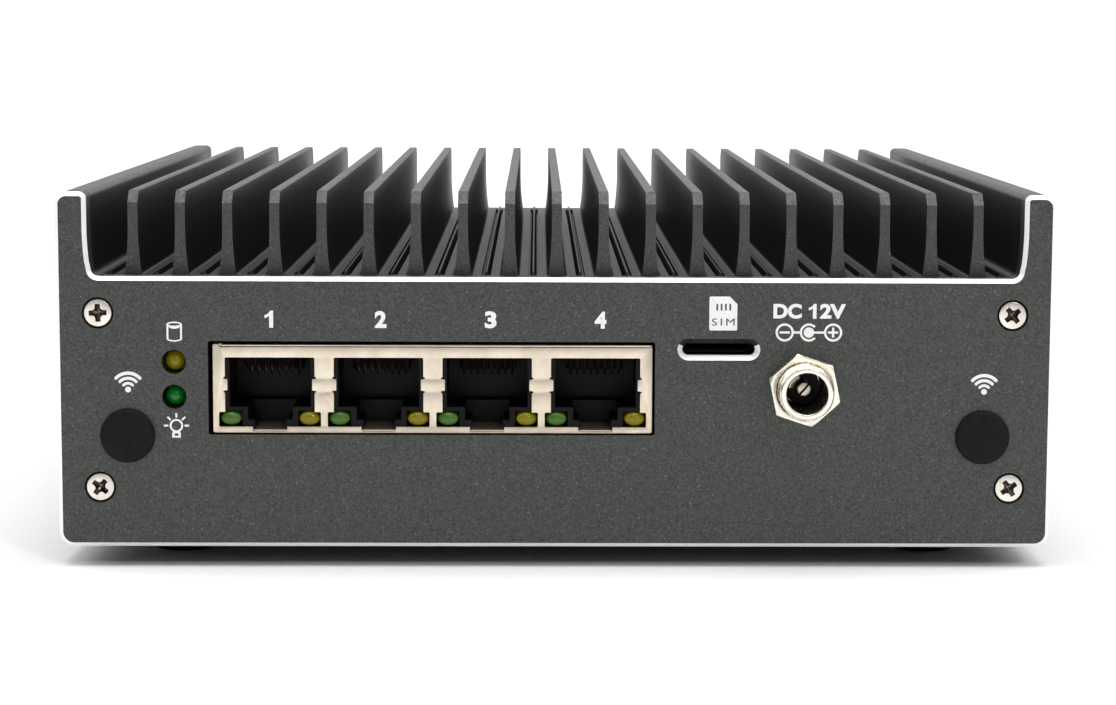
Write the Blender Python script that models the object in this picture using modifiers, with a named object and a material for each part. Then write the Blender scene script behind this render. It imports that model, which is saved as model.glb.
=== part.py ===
"""Fanless firewall appliance: a finned heatsink enclosure with end panels, jacks and boards.

Metres, +Z up. The panel with the network jacks faces -Y. The origin is the middle of the
bounding box's underside, on the plane that the feet stand on.
"""

import math

import bmesh
import bpy
from mathutils import Matrix

# Enclosure
BODY_WIDTH = 0.145
BODY_HEIGHT = 0.0518
BODY_DEPTH = 0.154
FOOT_HEIGHT = 0.003
PANEL_THICKNESS = 0.004
SEAM = 0.0003  # clearance left between pieces that touch
FRONT_PROUD = 0.0060  # the power inlet's barrel stands this far in front of the front panel
REAR_PROUD = 0.0022  # the power button's cap stands this far behind the rear panel

BASE = FOOT_HEIGHT  # underside of the enclosure
TOP = BASE + BODY_HEIGHT
HALF_WIDTH = BODY_WIDTH / 2
FRONT = FRONT_PROUD - (BODY_DEPTH + FRONT_PROUD + REAR_PROUD) / 2
REAR = FRONT + BODY_DEPTH
INNER_FRONT = FRONT + PANEL_THICKNESS
INNER_REAR = REAR - PANEL_THICKNESS

# Section of the extrusion and outline of the end panels
VALLEY = BASE + 0.0396  # floor between the fins, and middle of the panels' top edge
FLARE_START = BASE + 0.0468  # fins and side walls widen below this height
EAR_WIDTH = 0.0046
WALL_FLARE = 0.0005
FOOT_FILLET = 0.00115
BOTTOM_RADIUS = 0.0022
EAR_OUTER_RADIUS = 0.0018
EAR_INNER_RADIUS = 0.0010
PANEL_CHAMFER = 0.0006
FIN_COUNT = 19
FIN_PITCH = 0.00686
FIN_THICKNESS = 0.00145
FIN_FLARE = 0.00045
FIN_FILLET = 0.00045
FIN_CORNER = 0.00175  # 45 degree corner at both ends of each fin
GROOVE_WIDTH = 0.00145
GROOVE_DEPTH = 0.0008
RIDGE_BASE = 0.0010
RIDGE_TOP = 0.0003
RIDGE_HEIGHT = 0.0005  # above the valley floor
SLAB_UNDERSIDE = BASE + 0.0353
WALL_THICKNESS = 0.003
RIB_INNER_X = 0.0629
LOW_RIB = (BASE + 0.0026, BASE + 0.0122)
HIGH_RIB_BOTTOM = BASE + 0.0307
BOTTOM_PLATE_THICKNESS = 0.0023

# Fasteners
SCREW_X = 0.0664
SCREW_HEIGHTS = (BASE + 0.0088, BASE + 0.0343)
SCREW_HEAD_RADIUS = 0.0020
SCREW_HEAD_DEPTH = 0.0011
SCREW_SHANK_RADIUS = 0.0010
SCREW_LENGTH = 0.0095
SCREW_HOLE_RADIUS = 0.0013
COUNTERSINK_RADIUS = 0.0024
SCREW_RECESS = 0.00015  # the heads lie this far below the face
CROSS_WIDTH = 0.0005
CROSS_LENGTH = 0.0024
CROSS_DEPTH = 0.0008
CUTTER_OVERLAP = 0.0005  # how far a cutter reaches past the face it opens
BOTTOM_SCREW_Y = 0.062
FOOT_X = 0.056
FOOT_Y = 0.058
FOOT_RADIUS = 0.0055
FOOT_ROUNDING = 0.0008

# Network jack, a row of four ports in one shield
PORT_COUNT = 4
PORT_PITCH = 0.0158
JACK_X = -0.0180
JACK_WIDTH = 0.0639
JACK_HEIGHTS = (BASE + 0.01675, BASE + 0.02975)
JACK_FACE = FRONT + 0.0006
JACK_DEPTH = 0.0215
JACK_CUTOUT_GAP = 0.00045  # at the sides and the top
SHIELD_WALL = 0.0004
PORT_TOP = BASE + 0.0278
PORT_HALF_WIDTH = 0.0065
LAMP_BAND_TOP = BASE + 0.0198
LAMP_BAND_BOTTOM = BASE + 0.01765
LAMP_BAND_HALF_WIDTH = 0.0074
NOTCH_HALF_WIDTH = 0.0025
NOTCH_BOTTOM = BASE + 0.01695
TAB_HEIGHTS = (BASE + 0.0229, BASE + 0.0247)
TAB_REACH = 0.00035
TAB_RELIEF = 0.0002
PLUG_HALF_WIDTH = 0.0059
PLUG_FLOOR = BASE + 0.0207
PLUG_DEPTH = 0.0107
LATCH_HALF_WIDTH = 0.00325
LATCH_STEP = BASE + 0.0186
LATCH_DEPTH = 0.0083
PORT_LAMP_SIZE = (0.0031, 0.0060, 0.0021)
PORT_LAMP_X = 0.00572
PORT_LAMP_Z = BASE + 0.0188
PORT_LAMP_ROUNDING = 0.0005
CONTACT_COUNT = 8
CONTACT_PITCH = 0.001016
CONTACT_WIDTH = 0.00036
CONTACT_THICKNESS = 0.0003
CONTACT_ROOF = PORT_TOP - 0.0002
CONTACT_START = JACK_FACE + 0.0022
CONTACT_REACH = 0.0066
CONTACT_DROP = 0.0033

# Power inlet
INLET_X = 0.0360
INLET_Z = BASE + 0.0235
INLET_RADIUS = 0.0040
INLET_BORE_RADIUS = 0.003025
INLET_BORE_DEPTH = 0.0105
INLET_POCKET_DEPTH = 0.0140  # from the mouth to the floor under the insulator
INLET_MOUTH_CHAMFER = 0.0004
INLET_RIM_CHAMFER = 0.0003
INLET_FLANGE = (0.0054, 0.0020)  # radius and thickness, behind the panel
INLET_BODY = (0.0046, 0.0110)  # radius and depth behind the flange's front
INSULATOR_THICKNESS = 0.0032
NUT_CIRCUMRADIUS = 0.00544
NUT_THICKNESS = 0.0020
NUT_TURN = math.radians(41.7)
NUT_CROWN = (0.0007, 0.0009)  # how far the crown takes the corners back, inwards and downwards
PIN_RADIUS = 0.00105
PIN_RECESS = 0.0050
PIN_SLOT_WIDTH = 0.00035
PIN_SLOT_TURN = math.radians(35)
PIN_SLOT_DEPTH = 0.0016
PIN_ROUNDING = 0.0003

# Status lamps, antenna plugs and card slot
STATUS_X = -0.0555
STORAGE_LAMP_Z = BASE + 0.0272
POWER_LAMP_Z = BASE + 0.0221
STATUS_LAMP_RADIUS = 0.00146
STATUS_HOLE_RADIUS = 0.00178
STATUS_LAMP_SHOULDER = 0.0022
STATUS_LAMP_LENGTH = 0.0066
ANTENNA_X = 0.0623
ANTENNA_Z = BASE + 0.0164
ANTENNA_CAP_RADIUS = 0.00395
ANTENNA_CAP_RISE = 0.0011
ANTENNA_STEM_RADIUS = 0.0029
ANTENNA_HOLE_RADIUS = 0.0032
ANTENNA_LIP = 0.0004  # how far the lip behind the panel reaches past the hole
ANTENNA_LIP_LENGTH = 0.0012
CARD_X = 0.0236
CARD_Z = BASE + 0.0292
CARD_SLOT = (0.0106, 0.0017)
CARD_CHAMFER = 0.00073
CARD_SOCKET = (0.0146, 0.0140, 0.0020)
CARD_SOCKET_WALL = 0.0006

# Boards and what they carry
BOARD_UNDERSIDE = BASE + 0.0305
BOARD_THICKNESS = 0.0016
BOARD_TOP = BOARD_UNDERSIDE + BOARD_THICKNESS
BOARD_HALF_WIDTH = 0.0615
BOARD_HALF_DEPTH = 0.071
BOARD_MIDDLE_Y = 0.0025
BOARD_SCREWS = ((-0.056, -0.040), (0.056, -0.046), (-0.056, 0.050), (0.056, 0.056))
HUNG = BOARD_UNDERSIDE - SEAM  # top of what is mounted under the board
BOSS_RADIUS = 0.0030
BOARD_SCREW_HEAD = (0.0022, 0.0012)  # radius and height
BOARD_SCREW_ROUNDING = 0.0004
BOARD_SCREW_LENGTH = 0.0058
PROCESSOR_PLACE = (-0.008, 0.004)
PROCESSOR_HALF_WIDTH = 0.013
PROCESSOR_THICKNESS = 0.0006
DIE_HALF_WIDTH = 0.006
DIE_TOP = 0.0011
SPREADER_HALF_WIDTH = 0.020
SPREADER_ROUNDING = 0.0004
MEMORY_PLACE = (-0.014, -0.040)  # middle of the socket's front edge
MEMORY_SOCKET_HALF_WIDTH = 0.0362
MEMORY_SOCKET_HEIGHT = 0.0052
MEMORY_BAR = 0.0065
MEMORY_ARM = (0.0022, 0.026)
MEMORY_CARD_HALF_WIDTH = 0.0335
MEMORY_CARD_DEPTH = 0.030
MEMORY_CARD_DROP = 0.0040  # from the top of the socket to the card's underside
MEMORY_CARD_THICKNESS = 0.0012
MEMORY_CARD_INSET = 0.0030
MEMORY_CHIPS = 4
MEMORY_CHIP_PITCH = 0.016
MEMORY_CHIP_HALF_WIDTH = 0.0045
MEMORY_CHIP_DEPTHS = (0.010, 0.024)
CHIP_HEIGHT = 0.0010
STORAGE_PLACE = (0.044, -0.030)  # middle of the socket's front edge
STORAGE_SOCKET = (0.023, 0.0088, 0.0042)
STORAGE_CARD_HALF_WIDTH = 0.011
STORAGE_CARD_DEPTH = 0.042
STORAGE_CARD_DROP = 0.0028
STORAGE_CARD_THICKNESS = 0.0008
STORAGE_CARD_INSET = 0.0040
STORAGE_CHIP_HALF_WIDTH = 0.008
STORAGE_CHIP_DEPTHS = ((0.009, 0.019), (0.023, 0.037))
STORAGE_CHIP_HEIGHT = 0.0012
BATTERY_PLACE = (-0.036, 0.030)
BATTERY_RADIUS = 0.0100
BATTERY_THICKNESS = 0.0032
BATTERY_ROUNDING = 0.0005

# Rear panel
CONSOLE_X = 0.0215
USB_X = -0.0010
VIDEO_X = -0.0240
BUTTON_X = 0.0470
BUTTON_Z = BASE + 0.0205
BUTTON_RADIUS = 0.0037
BUTTON_TRAVEL = 0.0008
SWITCH_BORE_RADIUS = 0.0040
SWITCH_BARREL_RADIUS = 0.0052
SWITCH_FLANGE_RADIUS = 0.0066
SWITCH_DEPTH = 0.0120
SWITCH_FLANGE_TOP = 0.0013
SWITCH_FLANGE_CHAMFER = 0.0003
SWITCH_BORE_BOTTOM = -0.0060
BUTTON_ROUNDING = 0.0004
USB_SIZE = (0.0146, 0.0175, 0.0156)
USB_MIDDLES = (0.27, 0.73)  # heights of the two sockets, as shares of the stack's height
USB_OPENING = (0.0131, 0.0056)
USB_OPENING_DEPTH = 0.0110
USB_TONGUE = (0.0110, 0.0019)
USB_TONGUE_RISE = 0.0012
USB_TONGUE_SETBACK = 0.0008
VIDEO_SIZE = (0.0150, 0.0110, 0.0060)
VIDEO_OPENING_DROPS = (0.0006, 0.0053)  # top and bottom of the opening, below the stack's top
VIDEO_OPENING_HALF_WIDTH = 0.0070
VIDEO_OPENING_CORNER = 0.0016
VIDEO_OPENING_DEPTH = 0.0080
VIDEO_TONGUE_HALF_WIDTH = 0.0055
VIDEO_TONGUE_DROPS = (0.0023, 0.0033)
VIDEO_TONGUE_SETBACK = 0.0010
CONSOLE_SIZE = (0.0160, 0.0150, 0.01305)
CONSOLE_LATCH_BOTTOM = BASE + 0.01805

FACING_FRONT = (math.radians(90), 0, 0)  # a turned piece's top looks along -Y
FACING_REAR = (math.radians(-90), 0, 0)
FACING_DOWN = (math.radians(180), 0, 0)
FACING_UP = (0, 0, 0)
PLANES = {
    "XZ": ((math.radians(90), 0, 0), 1),
    "YZ": ((math.radians(90), 0, math.radians(90)), 0),
    "XY": ((0, 0, 0), 2),
}
SMOOTH_ANGLE = math.radians(35)

for leftover in list(bpy.data.objects):
    bpy.data.objects.remove(leftover)
PARTS = bpy.data.collections.new("firewall_appliance")
CUTTERS = bpy.data.collections.new("cutters")
for group in (PARTS, CUTTERS):
    bpy.context.scene.collection.children.link(group)


def finish(name, color, roughness, metallic=0.0):
    """A Principled material."""
    made = bpy.data.materials.new(name)
    made.use_nodes = True
    shader = made.node_tree.nodes["Principled BSDF"]
    shader.inputs["Base Color"].default_value = (*color, 1)
    shader.inputs["Roughness"].default_value = roughness
    shader.inputs["Metallic"].default_value = metallic
    return made


ANODISED = finish("anodised_aluminium", (0.075, 0.080, 0.078), 0.55, 0.6)
STEEL_BLACK = finish("black_steel", (0.03, 0.03, 0.032), 0.5, 0.3)
NICKEL = finish("nickel_plate", (0.62, 0.60, 0.56), 0.25, 1.0)
SHIELD = finish("tin_plate", (0.72, 0.67, 0.58), 0.35, 1.0)
BLACK_PLASTIC = finish("black_plastic", (0.012, 0.012, 0.013), 0.4)
RUBBER = finish("black_rubber", (0.018, 0.018, 0.02), 0.75)
GOLD = finish("gold_plate", (0.80, 0.58, 0.25), 0.3, 1.0)
GREEN_LENS = finish("green_lens", (0.05, 0.35, 0.08), 0.2)
YELLOW_LENS = finish("yellow_lens", (0.45, 0.38, 0.02), 0.2)
BOARD_GREEN = finish("board_laminate", (0.02, 0.12, 0.05), 0.45)
CHIP = finish("chip_resin", (0.02, 0.02, 0.02), 0.5)
BARE_ALUMINIUM = finish("bare_aluminium", (0.75, 0.75, 0.76), 0.35, 1.0)


def keep(name, mesh, surface):
    """An object of this mesh: a part if it has a surface, or else a cutter."""
    made = bpy.data.objects.new(name, mesh)
    if surface is None:
        CUTTERS.objects.link(made)
        made.hide_render = True
        made.display_type = "WIRE"
    else:
        PARTS.objects.link(made)
        mesh.materials.clear()
        mesh.materials.append(surface)
        mesh.shade_smooth()
        mesh.set_sharp_from_angle(angle=SMOOTH_ANGLE)
    return made


def mesh_from(name, bm):
    mesh = bpy.data.meshes.new(name)
    bmesh.ops.recalc_face_normals(bm, faces=bm.faces)
    bm.to_mesh(mesh)
    bm.free()
    return mesh


def block(name, low, high, surface=None, rounding=0.0):
    """A box between two corners, its edges rounded by a Bevel where rounding is given."""
    bm = bmesh.new()
    bmesh.ops.create_cube(bm, size=1)
    size = [b - a for a, b in zip(low, high)]
    middle = [(a + b) / 2 for a, b in zip(low, high)]
    bmesh.ops.scale(bm, vec=size, verts=bm.verts)
    bmesh.ops.translate(bm, vec=middle, verts=bm.verts)
    made = keep(name, mesh_from(name, bm), surface)
    if rounding:
        bevel = made.modifiers.new("rounding", "BEVEL")
        bevel.width = rounding
        bevel.segments = 1
    return made


def hung_block(name, center_x, size, front_y, surface=None, top=HUNG):
    """A box of this width, depth and height whose top is at the given height."""
    width, depth, height = size
    low = (center_x - width / 2, front_y, top - height)
    high = (center_x + width / 2, front_y + depth, top)
    return block(name, low, high, surface)


def turned(name, profile, place, facing, surface=None, steps=24, ring=False):
    """A profile of (radius, height) points, top to bottom on its outer side, turned about Z."""
    points = [(radius, 0, height) for radius, height in profile]
    edges = [(i, i + 1) for i in range(len(points) - 1)]
    if ring:
        edges.append((len(points) - 1, 0))
    mesh = bpy.data.meshes.new(name)
    mesh.from_pydata(points, edges, [])
    made = keep(name, mesh, surface)
    screw = made.modifiers.new("turn", "SCREW")
    screw.steps = steps
    screw.render_steps = steps
    screw.use_merge_vertices = True
    screw.merge_threshold = 0.000001
    screw.use_smooth_shade = True
    made.location = place
    made.rotation_euler = facing
    return made


def rod(name, radius, place, facing, length, surface=None, steps=16):
    """A plain cylinder from its place backwards, away from where it faces."""
    profile = [(0, 0), (radius, 0), (radius, -length), (0, -length)]
    return turned(name, profile, place, facing, surface, steps)


def extruded(name, outlines, plane, low, high, surface=None):
    """Flat outlines filled and extruded across their plane; an outline inside another is a hole."""
    facing, axis = PLANES[plane]
    curve = bpy.data.curves.new(name, "CURVE")
    curve.dimensions = "2D"
    curve.fill_mode = "BOTH"
    curve.extrude = (high - low) / 2
    for outline in outlines:
        spline = curve.splines.new("POLY")
        spline.points.add(len(outline) - 1)
        for point, (across, along) in zip(spline.points, outline):
            point.co = (across, along, 0, 1)
        spline.use_cyclic_u = True
    guide = bpy.data.objects.new(name + "_guide", curve)
    bpy.context.scene.collection.objects.link(guide)
    guide.rotation_euler = facing
    guide.location[axis] = (low + high) / 2
    bpy.context.view_layer.update()
    graph = bpy.context.evaluated_depsgraph_get()
    mesh = bpy.data.meshes.new_from_object(guide.evaluated_get(graph))
    bm = bmesh.new()
    bm.from_mesh(mesh)
    bmesh.ops.remove_doubles(bm, verts=bm.verts, dist=0.000001)
    bmesh.ops.recalc_face_normals(bm, faces=bm.faces)
    bm.to_mesh(mesh)
    bm.free()
    made = keep(name, mesh, surface)
    made.matrix_world = guide.matrix_world
    bpy.data.objects.remove(guide)
    return made


def combine(target, operation, others):
    for other in others:
        modifier = target.modifiers.new(operation.lower() + " " + other.name, "BOOLEAN")
        modifier.operation = operation
        modifier.object = other


def cut(target, *cutters):
    combine(target, "DIFFERENCE", cutters)


def join(target, *others):
    combine(target, "UNION", others)


def arc(center_x, center_z, radius, start, end, steps=4):
    """Points along an arc, with its angles in degrees."""
    angles = [math.radians(start + (end - start) * i / steps) for i in range(steps + 1)]
    return [(center_x + radius * math.cos(a), center_z + radius * math.sin(a)) for a in angles]


def mirrored(points):
    return [(-x, z) for x, z in reversed(points)]


def flare(z):
    """0 above the height where the fins start to widen, growing to 1 at the valley floor."""
    drop = max(0.0, (FLARE_START - z) / (FLARE_START - VALLEY))
    return drop * drop


def wall_outline():
    """The outer right edge shared by panels and extrusion, from its foot to the valley."""
    inner = HALF_WIDTH - EAR_WIDTH
    foot = inner - WALL_FLARE
    points = arc(HALF_WIDTH - BOTTOM_RADIUS, BASE + BOTTOM_RADIUS, BOTTOM_RADIUS, -90, 0)
    points += arc(HALF_WIDTH - EAR_OUTER_RADIUS, TOP - EAR_OUTER_RADIUS, EAR_OUTER_RADIUS, 0, 90)
    points += arc(inner + EAR_INNER_RADIUS, TOP - EAR_INNER_RADIUS, EAR_INNER_RADIUS, 90, 180)
    points.append((inner, FLARE_START))
    middle = (FLARE_START + VALLEY) / 2
    points.append((inner - WALL_FLARE * flare(middle), middle))
    points += arc(foot - FOOT_FILLET, VALLEY + FOOT_FILLET, FOOT_FILLET, 0, -90)
    return points


def fin_side():
    """The right side of a fin centred on x = 0, from its top to its foot."""
    half = FIN_THICKNESS / 2
    points = [(half, TOP), (half, FLARE_START)]
    lower = VALLEY + FIN_FILLET
    for step in (0.4, 0.75, 1.0):
        z = FLARE_START + (lower - FLARE_START) * step
        points.append((half + FIN_FLARE * flare(z), z))
    points += arc(half + FIN_FLARE + FIN_FILLET, lower, FIN_FILLET, 225, 270, 1)
    return points


def groove(center_x):
    """The groove along the middle of a valley, with its thin ridge, from left to right."""
    floor = VALLEY - GROOVE_DEPTH
    left = [
        (-GROOVE_WIDTH / 2, VALLEY),
        (-GROOVE_WIDTH / 2, floor),
        (-RIDGE_BASE / 2, floor),
        (-RIDGE_TOP / 2, VALLEY + RIDGE_HEIGHT),
    ]
    return [(center_x + x, z) for x, z in left + mirrored(left)]


def cavity_outline():
    """The right half of the extrusion's inside, from the middle of its roof to its foot."""
    wall = HALF_WIDTH - WALL_THICKNESS
    return [
        (RIB_INNER_X, SLAB_UNDERSIDE),
        (RIB_INNER_X, HIGH_RIB_BOTTOM),
        (wall, HIGH_RIB_BOTTOM),
        (wall, LOW_RIB[1]),
        (RIB_INNER_X, LOW_RIB[1]),
        (RIB_INNER_X, LOW_RIB[0]),
        (wall, LOW_RIB[0]),
        (wall, BASE),
    ]


def extrusion_outline():
    """The whole section, anticlockwise from the foot of the right wall."""
    right = wall_outline()
    points = list(right)
    side = fin_side()
    centers = [(i - (FIN_COUNT - 1) / 2) * FIN_PITCH for i in range(FIN_COUNT)]
    for x in reversed(centers):
        points += reversed(groove(x + FIN_PITCH / 2))
        points += [(x + dx, z) for dx, z in reversed(side)]
        points += [(x - dx, z) for dx, z in side]
    points += reversed(groove(centers[0] - FIN_PITCH / 2))
    points += mirrored(right)
    inside = cavity_outline()
    return points + [(-x, z) for x, z in reversed(inside)] + inside


def screw(name, place, facing):
    """A countersunk screw with a cross recess, its head's face just below its place."""
    face = -SCREW_RECESS
    neck = face - SCREW_HEAD_DEPTH
    profile = [
        (0, face),
        (SCREW_HEAD_RADIUS, face),
        (SCREW_SHANK_RADIUS, neck),
        (SCREW_SHANK_RADIUS, -SCREW_LENGTH),
        (0, -SCREW_LENGTH),
    ]
    made = turned(name, profile, place, facing, NICKEL, 16)
    for turn in (0, 90):
        bar = block(
            name + f"_recess_{turn}",
            (-CROSS_LENGTH / 2, -CROSS_WIDTH / 2, face - CROSS_DEPTH),
            (CROSS_LENGTH / 2, CROSS_WIDTH / 2, face + CROSS_DEPTH),
        )
        bar.data.transform(Matrix.Rotation(math.radians(turn + 45), 4, "Z"))
        bar.location = place
        bar.rotation_euler = facing
        cut(made, bar)
    return made


def screw_hole(name, place, facing, countersunk=True):
    """A cutter for a screw's hole, with its countersink."""
    depth = SCREW_LENGTH + SEAM
    mouth = COUNTERSINK_RADIUS + CUTTER_OVERLAP
    cone = COUNTERSINK_RADIUS - SCREW_HOLE_RADIUS
    if not countersunk:
        mouth = SCREW_HOLE_RADIUS
        cone = 0
    profile = [(0, CUTTER_OVERLAP), (mouth, CUTTER_OVERLAP), (SCREW_HOLE_RADIUS, -cone)]
    profile += [(SCREW_HOLE_RADIUS, -depth), (0, -depth)]
    return turned(name, profile, place, facing, None, 16)


def heatsink_shell():
    shell = extruded(
        "heatsink_shell",
        [extrusion_outline()],
        "XZ",
        INNER_FRONT + SEAM,
        INNER_REAR - SEAM,
        ANODISED,
    )
    half_span = FIN_COUNT * FIN_PITCH / 2
    for name, y, inward in (("front", INNER_FRONT + SEAM, 1), ("rear", INNER_REAR - SEAM, -1)):
        over = 0.001
        corner = [
            (y - over * inward, TOP + over),
            (y - over * inward, TOP - FIN_CORNER - over),
            (y + (FIN_CORNER + over) * inward, TOP + over),
        ]
        cut(shell, extruded(f"fin_corner_{name}", [corner], "YZ", -half_span, half_span))
    for index, (x, y) in enumerate(BOARD_SCREWS, 1):
        place = (x, y, SLAB_UNDERSIDE + CUTTER_OVERLAP)
        length = place[2] - BOARD_TOP - SEAM
        join(shell, rod(f"board_boss_{index}", BOSS_RADIUS, place, FACING_UP, length))
        hole = (x, y, SLAB_UNDERSIDE + 0.002)
        name = f"board_boss_hole_{index}"
        cut(shell, rod(name, SCREW_HOLE_RADIUS, hole, FACING_UP, 0.006, steps=12))
    for side in (-1, 1):
        for row, z in enumerate(SCREW_HEIGHTS):
            for y, facing, end in ((FRONT, FACING_FRONT, "front"), (REAR, FACING_REAR, "rear")):
                name = f"shell_{end}_thread_{row}_{side}"
                cut(shell, screw_hole(name, (side * SCREW_X, y, z), facing, False))
        for y in (-BOTTOM_SCREW_Y, BOTTOM_SCREW_Y):
            name = f"shell_bottom_thread_{side}_{y}"
            place = (side * SCREW_X, y, BASE)
            hole = rod(name, SCREW_HOLE_RADIUS, place, FACING_DOWN, SCREW_LENGTH + SEAM, steps=12)
            cut(shell, hole)
    return shell


def chamfer_face(panel, y, width):
    """Cuts a 45 degree chamfer along all the edges that lie in the plane at this y."""
    panel.data.transform(panel.matrix_world)
    panel.matrix_world = Matrix.Identity(4)
    bm = bmesh.new()
    bm.from_mesh(panel.data)
    flat = math.radians(1)
    rim = [
        edge
        for edge in bm.edges
        if all(abs(vert.co.y - y) < 0.00001 for vert in edge.verts)
        and edge.calc_face_angle(0) > flat
    ]
    bmesh.ops.bevel(bm, geom=rim, offset=width, segments=1, affect="EDGES", clamp_overlap=True)
    bm.to_mesh(panel.data)
    bm.free()


def end_panel(name, low, high, face_y, facing):
    """A panel with ears and four countersunk screws, chamfered on its outer face."""
    outline = wall_outline()
    panel = extruded(name, [outline + mirrored(outline)], "XZ", low, high, ANODISED)
    bpy.context.view_layer.update()
    chamfer_face(panel, face_y, PANEL_CHAMFER)
    for index, (side, z) in enumerate(screw_places(), 1):
        place = (side * SCREW_X, face_y, z)
        cut(panel, screw_hole(f"{name}_screw_hole_{index}", place, facing))
        screw(f"{name}_screw_{index}", place, facing)
    return panel


def screw_places():
    return [(side, z) for z in reversed(SCREW_HEIGHTS) for side in (-1, 1)]


def slot_outline(center_x, center_z, width, height):
    """A slot with round ends."""
    radius = height / 2
    right = arc(center_x + width / 2 - radius, center_z, radius, -90, 90, 6)
    left = arc(center_x - width / 2 + radius, center_z, radius, 90, 270, 6)
    return right + left


def card_slot_cutters():
    """The card slot through the panel, and the chamfer round its mouth."""
    width, height = CARD_SLOT
    slot = slot_outline(CARD_X, CARD_Z, width, height)
    through = extruded("card_slot", [slot], "XZ", FRONT - 0.001, INNER_FRONT + 0.001)
    reach = CARD_CHAMFER + CUTTER_OVERLAP
    bm = bmesh.new()
    rings = []
    for y, grow in ((FRONT + CARD_CHAMFER, 0), (FRONT - CUTTER_OVERLAP, reach)):
        ring = slot_outline(CARD_X, CARD_Z, width + 2 * grow, height + 2 * grow)
        rings.append([bm.verts.new((x, y, z)) for x, z in ring])
    inner, outer = rings
    bm.faces.new(inner)
    bm.faces.new(outer)
    for i in range(len(inner)):
        j = (i + 1) % len(inner)
        bm.faces.new((inner[i], inner[j], outer[j], outer[i]))
    return through, keep("card_slot_chamfer", mesh_from("card_slot_chamfer", bm), None)


def front_panel():
    panel = end_panel("front_panel", FRONT, INNER_FRONT, FRONT, FACING_FRONT)
    through = PANEL_THICKNESS + 0.002
    gap = JACK_CUTOUT_GAP
    jack_left = JACK_X - JACK_WIDTH / 2 - gap
    jack_right = JACK_X + JACK_WIDTH / 2 + gap
    jack = block(
        "jack_cutout",
        (jack_left, FRONT - 0.001, JACK_HEIGHTS[0] - SEAM),
        (jack_right, INNER_FRONT + 0.001, JACK_HEIGHTS[1] + gap),
    )
    cut(panel, jack, *card_slot_cutters())
    holes = {
        "storage_lamp_hole": (STATUS_HOLE_RADIUS, STATUS_X, STORAGE_LAMP_Z),
        "power_lamp_hole": (STATUS_HOLE_RADIUS, STATUS_X, POWER_LAMP_Z),
        "antenna_hole_left": (ANTENNA_HOLE_RADIUS, -ANTENNA_X, ANTENNA_Z),
        "antenna_hole_right": (ANTENNA_HOLE_RADIUS, ANTENNA_X, ANTENNA_Z),
        "inlet_hole": (INLET_RADIUS + SEAM, INLET_X, INLET_Z),
    }
    for name, (radius, x, z) in holes.items():
        cut(panel, rod(name, radius, (x, FRONT - 0.001, z), FACING_FRONT, through, steps=24))


def rear_panel():
    panel = end_panel("rear_panel", INNER_REAR, REAR, REAR, FACING_REAR)
    through = PANEL_THICKNESS + 0.002
    radius = SWITCH_BARREL_RADIUS + SEAM
    place = (BUTTON_X, REAR + 0.001, BUTTON_Z)
    cut(panel, rod("switch_hole", radius, place, FACING_REAR, through, steps=24))
    sizes = {
        "usb_cutout": (USB_X, USB_SIZE, HUNG),
        "video_cutout": (VIDEO_X, VIDEO_SIZE, HUNG),
        "console_cutout": (CONSOLE_X, CONSOLE_SIZE, JACK_HEIGHTS[1]),
    }
    for name, (x, (width, _, height), top) in sizes.items():
        low = (x - width / 2 - SEAM, INNER_REAR - 0.001, top - height - SEAM)
        high = (x + width / 2 + SEAM, REAR + 0.001, top + SEAM)
        cut(panel, block(name, low, high))


def bottom_plate():
    half = HALF_WIDTH - WALL_THICKNESS - SEAM
    plate = block(
        "bottom_plate",
        (-half, INNER_FRONT + SEAM, BASE),
        (half, INNER_REAR - SEAM, BASE + BOTTOM_PLATE_THICKNESS),
        STEEL_BLACK,
    )
    corners = [(x, y) for y in (-1, 1) for x in (-1, 1)]
    for index, (x, y) in enumerate(corners, 1):
        place = (x * SCREW_X, y * BOTTOM_SCREW_Y, BASE)
        cut(plate, screw_hole(f"bottom_hole_{index}", place, FACING_DOWN))
        screw(f"bottom_screw_{index}", place, FACING_DOWN)
        rubber_foot(f"rubber_foot_{index}", x * FOOT_X, y * FOOT_Y)


def rubber_foot(name, x, y):
    height = FOOT_HEIGHT - SEAM
    edge = FOOT_RADIUS - FOOT_ROUNDING
    profile = [(0, 0), (edge - FOOT_ROUNDING, 0), (edge, -FOOT_ROUNDING)]
    profile += [(FOOT_RADIUS, -height), (0, -height)]
    turned(name, profile, (x, y, 0), FACING_DOWN, RUBBER)


def port_centers():
    middle = (PORT_COUNT - 1) / 2
    return [JACK_X + (i - middle) * PORT_PITCH for i in range(PORT_COUNT)]


def port_opening(center_x):
    """The shield's opening for one port, with side tabs, the lamp band and the latch notch."""
    half = PORT_HALF_WIDTH
    low, high = TAB_HEIGHTS
    right = [
        (NOTCH_HALF_WIDTH, NOTCH_BOTTOM),
        (NOTCH_HALF_WIDTH, LAMP_BAND_BOTTOM),
        (LAMP_BAND_HALF_WIDTH, LAMP_BAND_BOTTOM),
        (LAMP_BAND_HALF_WIDTH, LAMP_BAND_TOP),
        (half, LAMP_BAND_TOP),
        (half + TAB_RELIEF, low),
        (half - TAB_REACH, low),
        (half - TAB_REACH, high),
        (half + TAB_RELIEF, high),
        (half, PORT_TOP),
    ]
    return [(center_x + x, z) for x, z in right + mirrored(right)]


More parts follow.
